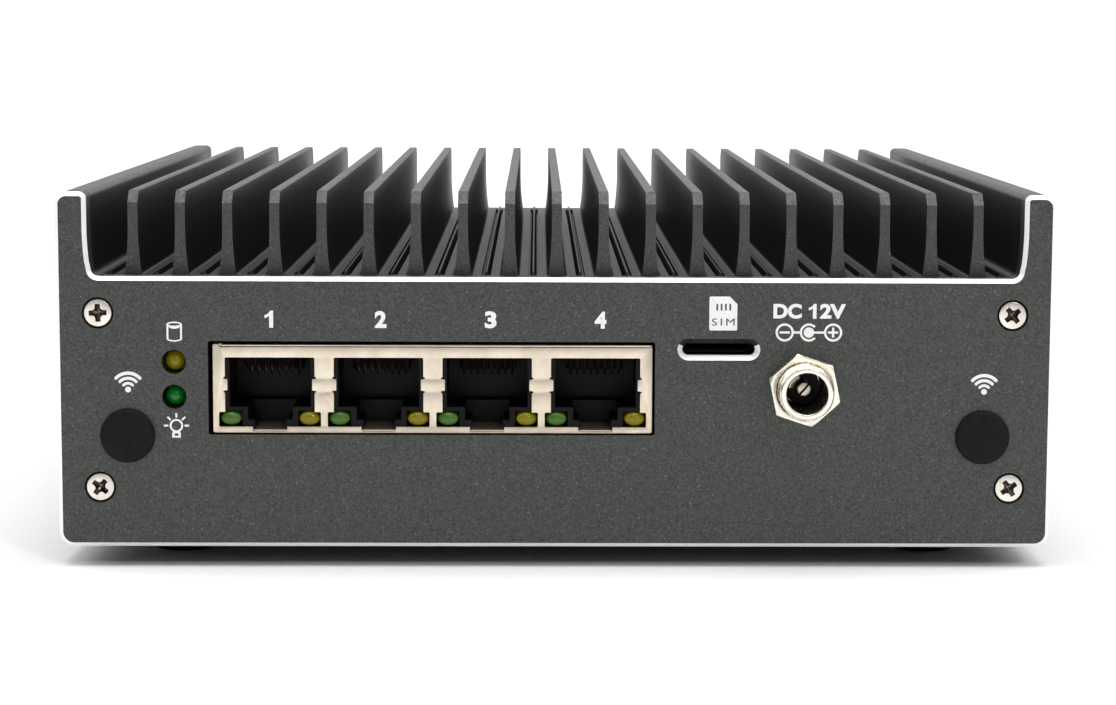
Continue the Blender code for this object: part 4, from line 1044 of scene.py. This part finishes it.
def thread(name, bottom, top, radius, material):
    """A tube wall whose outer side carries a helical thread, fading out at its ends."""
    around = 72
    rows = int((top - bottom) / (THREAD_PITCH / 10))
    depth = 0.00028
    fade = 0.0004
    rings = []
    for row in range(rows + 1):
        height = bottom + (top - bottom) * row / rows
        edge = min(1.0, (top - height) / fade, (height - bottom) / fade)
        ring = []
        for i in range(around):
            phase = (height / THREAD_PITCH - i / around) % 1.0
            crest = min(1.0, max(0.0, (1 - abs(2 * phase - 1)) * 1.3 - 0.1))
            reach = radius - depth * (1 - crest * edge)
            angle = 2 * math.pi * i / around
            ring.append((reach * math.cos(angle), reach * math.sin(angle), height))
        rings.append(ring)
    inner = radius - 0.0005
    rings += [circle(inner, top, around), circle(inner, bottom, around), rings[0]]
    bm = bmesh.new()
    skin(bm, rings)
    bmesh.ops.remove_doubles(bm, verts=bm.verts, dist=MERGE)
    return from_bmesh(name, bm, material)


def at_inlet(name, profile, material, steps=64):
    """A profile turned about the inlet's axis, its heights measured from the panel's face."""
    return turned(name, profile, on_front(INLET), FRONTWARD, material, steps=steps)


def inlet_barrel():
    """The power inlet's threaded barrel, with a rounded mouth and a ribbed bore."""
    mouth = FRONT - INLET_MOUTH
    wall = THREAD_RADIUS - 0.00033
    profile = arc(BORE_RADIUS + 0.00015, mouth - 0.00015, 0.00015, 180, 90, 4)
    profile += arc(wall - 0.0001, mouth - 0.00022, 0.00022, 90, 0, 4)
    profile += [(wall, -0.0045), (0.0054, -0.0045), (0.0054, -0.0065), (0.0046, -0.0065)]
    profile += [(0.0046, -0.0150), (0, -0.0150), (0, mouth - 0.0138)]
    for i in range(22):
        depth = mouth - 0.0136 + 0.0006 * i
        profile += [(BORE_RADIUS, depth), (BORE_RADIUS + 0.00006, depth + 0.0003)]
    profile.append(profile[0])
    core = at_inlet("inlet_barrel_detail", profile, NICKEL, 72)
    winding = thread("winding", -0.0040, mouth - 0.00012, THREAD_RADIUS, NICKEL)
    winding.data.transform(Matrix.Translation(on_front(INLET)) @ FRONTWARD)
    piece(unite(core, winding), "nickel_plate", "dc_jack_body")


def inlet_nut():
    """A hexagon nut with its corners crowned by a cone."""
    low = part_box("dc_jack_nut")[0]
    reach = NUT_RADIUS
    hexagon = arc(INLET.x, INLET.z, reach, NUT_TURN, NUT_TURN + 300, 5)
    bore = THREAD_RADIUS + 0.00006
    hole = ellipse(INLET.x, INLET.z, bore, bore, steps=64)
    nut = prism("inlet_nut_detail", [hexagon, hole], "XZ", low.y, FRONT - SEAM, NICKEL)
    face = FRONT - low.y
    crown = [(reach - 0.00075, face + 0.0002), (reach + 0.001, face + 0.0002)]
    crown.append((reach + 0.001, face - 0.0009))
    nut = carve(nut, at_inlet("crown", [*crown, crown[0]], NICKEL, 96))
    countersink = [(0, face + 0.0003), (THREAD_RADIUS + 0.00055, face + 0.0003)]
    countersink += [(THREAD_RADIUS, face - 0.0003), (0, face - 0.0003)]
    nut = carve(nut, at_inlet("sink", countersink, NICKEL))
    piece(softened(nut, 0.00007, 2), "nickel_plate", "dc_jack_nut")


def inlet_pin():
    """The split centre pin in its insulator."""
    pin = Node("dc_jack_pin")
    radius = pin.radius
    top = FRONT - pin.low.y
    soft = 0.0003
    profile = [(0, top), *arc(radius - soft, top - soft, soft, 90, 0, 5)]
    profile += [(radius, FRONT - pin.high.y), (0, FRONT - pin.high.y)]
    # The pin takes the darker nickel: painted shade inside the bore.
    made = at_inlet("inlet_pin_detail", profile, SHADED_PIN_NICKEL, 40)
    split = centred("split", 0, 0.002, (-0.00016, 0.00016), (top - 0.0030, top + 0.001), SHADED_CUT)
    turn = Matrix.Rotation(math.radians(PIN_TURN), 4, "Z")
    split.data.transform(Matrix.Translation(on_front(INLET)) @ FRONTWARD @ turn)
    piece(carve(made, split), "nickel_plate", "dc_jack_pin")
    holder = Node("dc_jack_insulator")
    top = FRONT - holder.low.y
    bottom = FRONT - holder.high.y
    inner = radius + 0.0001
    collar = inner + 0.0008
    profile = [(inner, top + 0.0002), (collar, top + 0.0002), (collar, top), (holder.radius, top)]
    profile += [(holder.radius, bottom), (inner, bottom), profile[0]]
    ring = at_inlet("inlet_insulator_detail", profile, BLACK_PLASTIC)
    piece(ring, "black_plastic", "dc_jack_insulator")


def inlet_spring():
    """The sprung outer contact, bowed towards the pin, beside it in the bore."""
    heights = (-0.0040, -0.0015, 0.0010, 0.0026, 0.0034, 0.0040)
    shares = (0.97, 0.95, 0.80, 0.68, 0.72, 0.86)
    rows = []
    for height, share in zip(heights, shares):
        row = arc(0, 0, BORE_RADIUS * share, 112, 168)
        rows.append([(x, y, height) for x, y in row])
    bm = bmesh.new()
    skin(bm, rows, closed=False)
    spring = from_bmesh("inlet_spring_contact", bm, NICKEL)
    spring.data.transform(Matrix.Translation(on_front(INLET)) @ FRONTWARD)
    solid = spring.modifiers.new("thickness", "SOLIDIFY")
    solid.thickness = 0.0002
    solid.offset = 0
    rounded = spring.modifiers.new("smooth", "SUBSURF")
    rounded.levels = 2
    rounded.render_levels = 2
    piece(settle(spring), "nickel_plate")


def card_socket():
    """The card socket's folded metal cover over a dark tray, behind its slot."""
    low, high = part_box("sim_socket")
    wall = 0.0002
    inner = rectangle(low.x + wall, low.z + wall, high.x - wall, high.z - wall, 0.0002)
    outer = rectangle(low.x, low.z, high.x, high.z, 0.0003)
    cover = prism("card_socket_detail", [outer, inner], "XZ", low.y + 0.002, high.y - wall, TIN)
    inset = Vector((1, 0, 1)) * wall * 1.5
    tray = block("tray", low + inset, high - inset, BLACK_PLASTIC, rounding=0.0001)
    half_width, half_height = (size / 2 for size in CARD_SLOT)
    heights = (CARD.z - half_height + 0.0004, CARD.z + half_height - 0.0004)
    depths = (low.y - PASS, low.y + 0.0120)
    space = centred("space", CARD.x, half_width - 0.0006, depths, heights, BLACK_PLASTIC)
    piece(unite(cover, carve(tray, space)), "tin_plated_shield", "sim_socket")


# Printed marks on the front


def printed(name, outlines, depths=(FRONT - PRINT, FRONT), body="appliance"):
    """A thin layer of ink with these outlines, between two depths."""
    return piece(prism(name, outlines, "XZ", *depths, INK), "anodised_aluminium", body=body)


def flat_text(name, text, left, center_z, height, width, bold=0.045, gap=1.0, material=None, lift=PRINT):
    """Plain characters in the built-in font, scaled to a height and a width."""
    curve = bpy.data.curves.new(name, "FONT")
    curve.body = text
    curve.offset = bold
    curve.space_character = gap
    curve.extrude = 0.5
    mesh = curve_mesh(name, curve)
    xs = [vertex.co.x for vertex in mesh.vertices]
    ys = [vertex.co.y for vertex in mesh.vertices]
    tall = height / (max(ys) - min(ys))
    wide = width / (max(xs) - min(xs))
    mesh.transform(Matrix.Translation((-min(xs), -(min(ys) + max(ys)) / 2, -0.5)))
    mesh.transform(Matrix.Diagonal((wide, tall, PRINT, 1)))
    mesh.transform(Matrix.Translation((left, FRONT - lift, center_z)) @ FRONTWARD)
    return piece(merged(name, mesh, material or INK), "anodised_aluminium")


def numeral_one(name, left, center_z, height, width):
    """A bold figure one: a stem with a flag."""
    shape = [(0.53, 0), (1, 0), (1, 1), (0.66, 1), (0.5, 0.87), (0.28, 0.78), (0, 0.73)]
    shape += [(0, 0.55), (0.3, 0.61), (0.53, 0.71)]
    bottom = center_z - height / 2
    printed(name, [[(left + x * width, bottom + z * height) for x, z in shape]])


def wireless_icon(name, x, z):
    """A dot with three arcs over it."""
    center = z - 0.00112
    marks = [ellipse(x, center, 0.00043, 0.00043)]
    for radius, half in ((0.00092, 0.00020), (0.00165, 0.00022), (0.00240, 0.00024)):
        band = []
        for start, end, reach in ((44, 136, radius + half), (136, 44, radius - half)):
            band += arc(x, center, reach, start, end, 16)[1:-1]
            turn = math.radians(end)
            middle = (x + radius * math.cos(turn), center + radius * math.sin(turn))
            first = end if reach > radius else end + 180
            band += arc(*middle, half, first, first + 180, 6)
        marks.append(band)
    printed(name, marks)


def storage_icon(x, z):
    """A drum in outline."""
    half_width, half_height, line = 0.00112, 0.00040, 0.00028
    top = z + 0.0029 / 2 - half_height
    bottom = z - 0.0029 / 2 + half_height
    outer = ellipse(x, top, half_width, half_height, 0, 180, 16)
    outer += ellipse(x, bottom, half_width, half_height, 180, 360, 16)
    lid = ellipse(x, top, half_width - line, half_height - line * 0.75)
    inside = half_width - line
    rim = ellipse(x, top - line * 0.9, inside, half_height, 360, 180, 16)
    floor = ellipse(x, bottom, inside, half_height - line * 0.75, 180, 360, 16)
    printed("print_storage", [outer, lid, rim + floor])


def lamp_icon(x, z):
    """A bulb with rays round it."""
    bulb_z = z + 0.00005
    radius, line = 0.00098, 0.00028
    base_half = 0.00062
    bottom = z - 0.00172
    neck = bottom + 0.00062
    outer = arc(x, bulb_z, radius, -58, 238, 28)
    left, right = x - base_half, x + base_half
    outer += [(left, neck), (left, bottom), (right, bottom), (right, neck)]
    inner = ellipse(x, bulb_z, radius - line, radius - line, steps=28)
    marks = [outer, inner, rectangle(x - 0.00027, bottom + 0.00026, x + 0.00027, neck)]
    for angle in (0, 45, 90, 135, 180):
        ray = Matrix.Rotation(math.radians(angle), 2)
        corners = [ray @ Vector(point) for point in rectangle(0.00118, -line / 2, 0.00182, line / 2)]
        marks.append([(x + corner.x, bulb_z + corner.y) for corner in corners])
    printed("print_lamp", marks)


def card_icon(x, z):
    """A card with a cut corner, contact bars and three letters in the panel's colour."""
    half_width, half_height, soft, cut = 0.00203, 0.00248, 0.0002, 0.0011
    outline = arc(x + half_width - soft, z - half_height + soft, soft, -90, 0, 3)
    outline += [(x + half_width, z + half_height - cut), (x + half_width - cut, z + half_height)]
    outline += arc(x - half_width + soft, z + half_height - soft, soft, 90, 180, 3)
    outline += arc(x - half_width + soft, z - half_height + soft, soft, 180, 270, 3)
    bars = []
    for number in range(4):
        left = x - 0.00103 + number * 0.00063
        bars.append(rectangle(left, z + 0.00045, left + 0.00026, z + 0.00142))
    printed("print_card", [outline, *bars])
    flat_text(
        "print_card_letters", "SIM", x - 0.00165, z - 0.00125, 0.00106, 0.0033, 0.0, 1.35, LETTER, PRINT * 2
    )


def polarity_icon(x, z):
    """The sign for a plug whose middle is positive."""
    line = 0.00033
    half = line / 2
    radius = 0.00133
    spacing = 0.00353
    arm = 0.00074
    left, right = x - spacing, x + spacing
    minus = rectangle(left - arm, z - half, left + arm, z + half)
    quarter = [(arm, -half), (arm, half), (half, half)]
    plus = []
    for across, along in ((1, 0), (0, 1), (-1, 0), (0, -1)):
        plus += [(right + dx * across - dz * along, z + dx * along + dz * across) for dx, dz in quarter]
    for name, center, sign in (("minus", left, minus), ("plus", right, plus)):
        ring = [ellipse(center, z, reach, reach) for reach in (radius, radius - line)]
        printed(f"print_{name}", [*ring, sign])
    cup = arc(x, z, radius, 42, 318, 28) + arc(x, z, radius - line, 318, 42, 28)
    link = rectangle(left + radius, z - half, x - radius - 0.000005, z + half)
    dot = arc(x, z, 0.00076, 12, 348, 28)
    dot += [(right - radius, z - half), (right - radius, z + half)]
    printed("print_plug", [cup, link, dot])


def front_marks():
    storage_icon(center_of("storage_led").x + 0.00013, BASE + 0.03162)
    lamp_icon(center_of("power_led").x + 0.00027, BASE + 0.01782)
    wireless_icon("print_antenna_left", -0.06215, BASE + 0.02426)
    wireless_icon("print_antenna_right", 0.06243, BASE + 0.02422)
    height = 0.0025
    numeral_one("print_port_1", NUMBER_LEFT, NUMBER_LEVEL, height, 0.00125)
    for number in range(2, PORT_COUNT + 1):
        left = NUMBER_LEFT + (number - 1) * NUMBER_PITCH
        flat_text(f"print_port_{number}", str(number), left, NUMBER_LEVEL, height, 0.0017)
    card_icon(CARD.x + 0.00059, BASE + 0.03449)
    height = 0.00218
    flat_text("print_rating_dc", "DC", INLET.x - 0.00453, RATING_LEVEL, height, 0.00413)
    numeral_one("print_rating_1", INLET.x + 0.00062, RATING_LEVEL, height, 0.00113)
    flat_text("print_rating_2v", "2V", INLET.x + 0.00226, RATING_LEVEL, height, 0.00377)
    polarity_icon(INLET.x + 0.00068, BASE + 0.03175)


# Rear parts


def rear_panel():
    panel, holes = end_panel("rear_plate", REAR, INNER_REAR, REARWARD, "rear_panel_screw")
    through = (INNER_REAR - PASS, REAR + PASS)
    gap = 0.0002
    for node in ("usb_port_stack", "video_port", "console_port"):
        low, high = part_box(node)
        outline = rectangle(low.x - gap, low.z - gap, high.x + gap, high.z + gap, 0.0003)
        holes.append(prism(node + "_cutout", [outline], "XZ", *through, BLASTED))
    holes.append(rod("switch_hole", 0.0053, BUTTON, *through))
    piece(carve(panel, *holes), "anodised_aluminium", "rear_panel")


def sheet_shell(name, low, high, openings):
    """A folded metal shell whose rear face has these openings."""
    outer = rectangle(low.x, low.z, high.x, high.z, 0.0004)
    face = prism(name, [outer, *openings], "XZ", high.y - SHEET, high.y, TIN, rounding=0.00004)
    inner = rectangle(low.x + SHEET, low.z + SHEET, high.x - SHEET, high.z - SHEET, 0.0002)
    can = prism(name + "_can", [outer, inner], "XZ", low.y, high.y - SHEET - 0.00005, TIN)
    return unite(face, can)


def socket_liner(grown, opening, rear, depth):
    """The metal lining of an opening, behind its shell's face."""
    return prism("liner", [grown, opening], "XZ", rear - depth, rear - SHEET - 0.0001, TIN)


def socket_back(x, half, y, heights):
    """The black wall at the end of a socket's space."""
    return centred("back", x, half, (y - 0.0005, y), heights, BLACK_PLASTIC)


def socket_tongue(x, low, high, heights, rounding):
    """The black tongue that carries a socket's contacts."""
    return centred("tongue", x, 0.0055, (low, high), heights, BLACK_PLASTIC, rounding=rounding)


def usb_sockets():
    """Two stacked sockets, each with a liner, a tongue with four contacts and two springs."""
    stack = Node("usb_port_stack")
    middle = stack.center.x
    rear = stack.high.y
    half_width, half_height, wall = 0.00655, 0.0028, 0.0003
    left, right = middle - half_width, middle + half_width
    openings = []
    inside = []
    for share in (0.27, 0.73):
        z = stack.high.z - (stack.high.z - stack.low.z) * share
        bottom, top = z - half_height, z + half_height
        opening = rectangle(left, bottom, right, top, 0.0004)
        grown = rectangle(left - wall, bottom - wall, right + wall, top + wall, 0.0004)
        tongue = z + 0.0012
        openings.append(opening)
        sides = (tongue - 0.00095, tongue + 0.00095)
        inside += [
            socket_liner(grown, opening, rear, 0.0110),
            socket_back(middle, half_width, rear - 0.0110, (bottom, top)),
            socket_tongue(middle, rear - 0.0112, rear - 0.0009, sides, 0.0002),
        ]
        for number in range(4):
            x = middle + (number - 1.5) * 0.0024
            depths = (rear - 0.0085, rear - 0.0016)
            heights = (tongue - 0.00105, tongue - 0.0009)
            edges = {"rounding": 0.00005, "segments": 1}
            inside.append(centred("contact", x, 0.0006, depths, heights, GOLD, **edges))
        foot = bottom - 0.0001
        bow = [(rear - 0.0075, foot), (rear - 0.0045, bottom + 0.0005), (rear - 0.0030, foot)]
        for x in (middle - 0.0030, middle + 0.0030):
            inside.append(prism("spring", [bow], "YZ", x - 0.0009, x + 0.0009, TIN))
    shell = sheet_shell("usb_sockets_detail", stack.low, stack.high, openings)
    piece(unite(shell, *inside), "tin_plated_shield", "usb_port_stack")


def video_socket():
    """A socket with two cut corners, and a tongue with contacts on both sides."""
    port = Node("video_port")
    middle = port.center.x
    rear = port.high.y
    top = port.high.z - 0.0006
    bottom = port.high.z - 0.0053
    half, corner = 0.0070, 0.0016
    right = [(half - corner, bottom), (half, bottom + corner)]
    right += arc(half - 0.0003, top - 0.0003, 0.0003, 0, 90, 3)
    opening = shifted(right + mirrored(right), middle)
    grown = []
    for x, z in opening:
        grown.append((middle + (x - middle) * 1.06, z + math.copysign(0.0003, z - (top + bottom) / 2)))
    sides = (port.high.z - 0.0033, port.high.z - 0.0023)
    inside = [
        socket_liner(grown, opening, rear, 0.0080),
        socket_back(middle, half, rear - 0.0080, (bottom, top)),
        socket_tongue(middle, rear - 0.0083, rear - 0.0011, sides, 0.00015),
    ]
    thickness = 0.00004
    for number in range(19):
        x = middle + (number - 9) * 0.0005
        z = sides[number % 2]
        heights = (z - thickness, z + thickness)
        inside.append(centred("contact", x, 0.00016, (rear - 0.0070, rear - 0.0014), heights, GOLD))
    shell = sheet_shell("video_socket_detail", port.low, port.high, [opening])
    piece(unite(shell, *inside), "tin_plated_shield", "video_port")


def console_socket():
    """A jack like the front ones, but alone in its shell and without lamps."""
    port = Node("console_port")
    low, high = port.low, port.high
    middle = port.center.x
    half = 0.0062
    relief = 0.0002
    shoulder = LAMP_BAND[1] - 0.0006
    right = [
        (NOTCH_HALF, low.z + 0.0004),
        (NOTCH_HALF, shoulder),
        (half, shoulder),
        (half, TABS[0]),
        (half - TAB_REACH, TABS[0] + relief),
        (half - TAB_REACH, TABS[1] - relief),
        (half, TABS[1]),
        (half, PORT_TOP),
    ]
    opening = shifted(right + mirrored(right), middle)
    shell = sheet_shell("console_socket_detail", low, high, [opening])
    margin = Vector((1, 1, 1)) * (SHEET + SLIP)
    face = high.y - margin.y
    cutters = port_cutters("console", middle, face, -1, low.z + 0.0003, PORT_TOP)
    body = moulding("console_body", low + margin, high - margin, cutters)
    wires = contact_wires("console_wires", 0, 0, PORT_TOP)
    wires.data.transform(Matrix.Translation((middle, face, 0)) @ Matrix.Rotation(math.pi, 4, "Z"))
    piece(unite(shell, body, wires), "tin_plated_shield", "console_port")


def power_switch():
    """The panel switch: a rounded metal rim, a threaded neck and its nut behind the panel."""
    switch = Node("power_switch")
    rim = switch.high.y - REAR
    radius = switch.radius
    bore, neck, nut = 0.0040, 0.0052, 0.0060
    soft = 0.00035
    profile = [(bore, rim - 0.0002), (bore + 0.0002, rim)]
    profile += arc(radius - soft, rim - soft, soft, 90, 0, 5)
    profile += [(radius, SEAM), (neck, SEAM), (neck, -0.0060), (nut, -0.0060), (nut, -0.0078)]
    profile += [(neck, -0.0078), (neck, -0.0107), (0, -0.0107), (0, -0.0060), (bore, -0.0060)]
    profile.append(profile[0])
    place = (BUTTON.x, REAR, BUTTON.z)
    made = turned("power_switch_detail", profile, place, REARWARD, NICKEL)
    piece(made, "nickel_plate", "power_switch")


def power_button():
    """The switch's dished cap, which carries the standby sign."""
    button = Node("power_button_cap")
    radius = button.radius
    top = button.high.y - REAR
    bottom = button.low.y - REAR
    dish, soft = 0.00025, 0.0003
    profile = [(0, top - dish), (radius * 0.45, top - dish * 0.7), (radius * 0.78, top - dish * 0.1)]
    profile += arc(radius - soft, top - soft, soft, 90, 0, 5)
    profile += [(radius, bottom), (0, bottom)]
    place = (BUTTON.x, REAR, BUTTON.z)
    cap = turned("power_cap_detail", profile, place, REARWARD, BLACK_PLASTIC)
    piece(cap, "black_plastic", button.name, body="power_button")
    half, reach = 0.00016, 0.0013
    ring = arc(BUTTON.x, BUTTON.z, reach, 122, 418, 28)
    ring += arc(BUTTON.x, BUTTON.z, reach - 2 * half, 418, 122, 28)
    stroke = rectangle(BUTTON.x - half, BUTTON.z + 0.0004, BUTTON.x + half, BUTTON.z + 0.0017)
    face = button.high.y - dish
    printed("print_standby", [ring, stroke], (face, face + 0.00015), body="power_button")


# Inside


def inner_finishes():
    """Finishes for the CAD nodes that stay as they are."""
    finishes = {
        "main_board": MASK,
        "memory_module": MASK,
        "storage_module": MASK,
        "processor_package": RESIN,
        "heat_spreader_block": ALUMINIUM,
        "memory_socket": BLACK_PLASTIC,
        "storage_slot": BLACK_PLASTIC,
        "clock_battery": NICKEL,
    }
    finishes.update({f"board_screw_{i}": SCREW_NICKEL for i in range(1, 5)})
    for node, material in finishes.items():
        mesh_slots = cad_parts[node].material_slots
        for index in range(len(mesh_slots)):
            mesh_slots[index].material = material


# Studio


WORLD_LIGHT = (0.3, 1.15)  # in front of the object and behind it
KEY_PLACE = (0.55, -1.1, 0.95)
KEY_ENERGY = 3.5
SUNS = (
    ("left_soft_box", (-0.9, 0.05, 0.85), 1.0, 50),
    ("right_soft_box", (0.9, 0.05, 0.85), 1.0, 50),
    ("top_soft_box", (0.0, -0.1, 1.0), 1.6, 40),
)


def add_light(name, kind, energy, toward, **settings):
    """A light whose rays come from this direction."""
    data = bpy.data.lights.new(name, kind)
    data.energy = energy
    for setting, value in settings.items():
        setattr(data, setting, value)
    made = bpy.data.objects.new(name, data)
    bpy.context.scene.collection.objects.link(made)
    made.rotation_euler = Vector(toward).to_track_quat("Z", "Y").to_euler()
    return made


def studio():
    """A white sweep of floor, a bright backdrop's light, and soft boxes above and in front."""
    paper = Finish("floor_paper", (0.9, 0.9, 0.9), 0.9, Specular_IOR_Level=0.1)
    tooth = paper.noise(0.002, 3.0)
    paper.drive("Base Color", paper.ramp(tooth, (0.3, (0.89, 0.89, 0.89)), (0.7, (0.91, 0.91, 0.91))))
    bm = bmesh.new()
    bmesh.ops.create_grid(bm, x_segments=8, y_segments=8, size=60)
    from_bmesh("floor", bm, paper.material)
    world = bpy.data.worlds.new("studio")
    bpy.context.scene.world = world
    world.use_nodes = True
    nodes = world.node_tree.nodes
    direction = nodes.new("ShaderNodeTexCoord").outputs["Generated"]
    split = nodes.new("ShaderNodeSeparateXYZ")
    depth = nodes.new("ShaderNodeMapRange")
    for socket, value in zip(("From Min", "From Max", "To Min", "To Max"), (0.0, 0.8, *WORLD_LIGHT)):
        depth.inputs[socket].default_value = value
    nodes["Background"].inputs["Color"].default_value = (1, 1, 1, 1)
    links = world.node_tree.links
    links.new(direction, split.inputs["Vector"])
    links.new(split.outputs["Y"], depth.inputs["Value"])
    links.new(depth.outputs["Result"], nodes["Background"].inputs["Strength"])
    for name, toward, strength, spread in SUNS:
        add_light(name, "SUN", strength, toward, angle=math.radians(spread))
    add_light("key_light", "AREA", KEY_ENERGY, KEY_PLACE, size=0.12).location = KEY_PLACE
    bpy.context.scene.view_settings.view_transform = "Standard"


CAMERA_PLACE = (-0.0030, FRONT - 0.3934, BASE + 0.0759)
CAMERA_TURN = {"Z": -1.2, "X": 90 - 6.835, "roll": 0.3}  # degrees
CAMERA_LENS = 87.95
CAMERA_SHIFT = -0.0311


def camera():
    """Just above the front, a little to the left, looking slightly down."""
    lens_data = bpy.data.cameras.new("camera")
    lens_data.sensor_width = 36
    lens_data.lens = CAMERA_LENS
    lens_data.shift_x = CAMERA_SHIFT
    lens_data.clip_start = 0.01
    made = bpy.data.objects.new("camera", lens_data)
    bpy.context.scene.collection.objects.link(made)
    yaw = Matrix.Rotation(math.radians(CAMERA_TURN["Z"]), 4, "Z")
    pitch = Matrix.Rotation(math.radians(CAMERA_TURN["X"]), 4, "X")
    roll = Matrix.Rotation(math.radians(CAMERA_TURN["roll"]), 4, "Z")
    made.matrix_world = Matrix.Translation(CAMERA_PLACE) @ yaw @ pitch @ roll
    bpy.context.scene.camera = made


camera()
studio()
heatsink()
front_panel()
bottom_plate()
feet()
antenna_plugs()
status_lamps()
lan_shield()
lan_housing()
lan_lamps()
inlet_barrel()
inlet_nut()
inlet_pin()
inlet_spring()
card_socket()
front_marks()
rear_panel()
usb_sockets()
video_socket()
console_socket()
power_switch()
power_button()
inner_finishes()
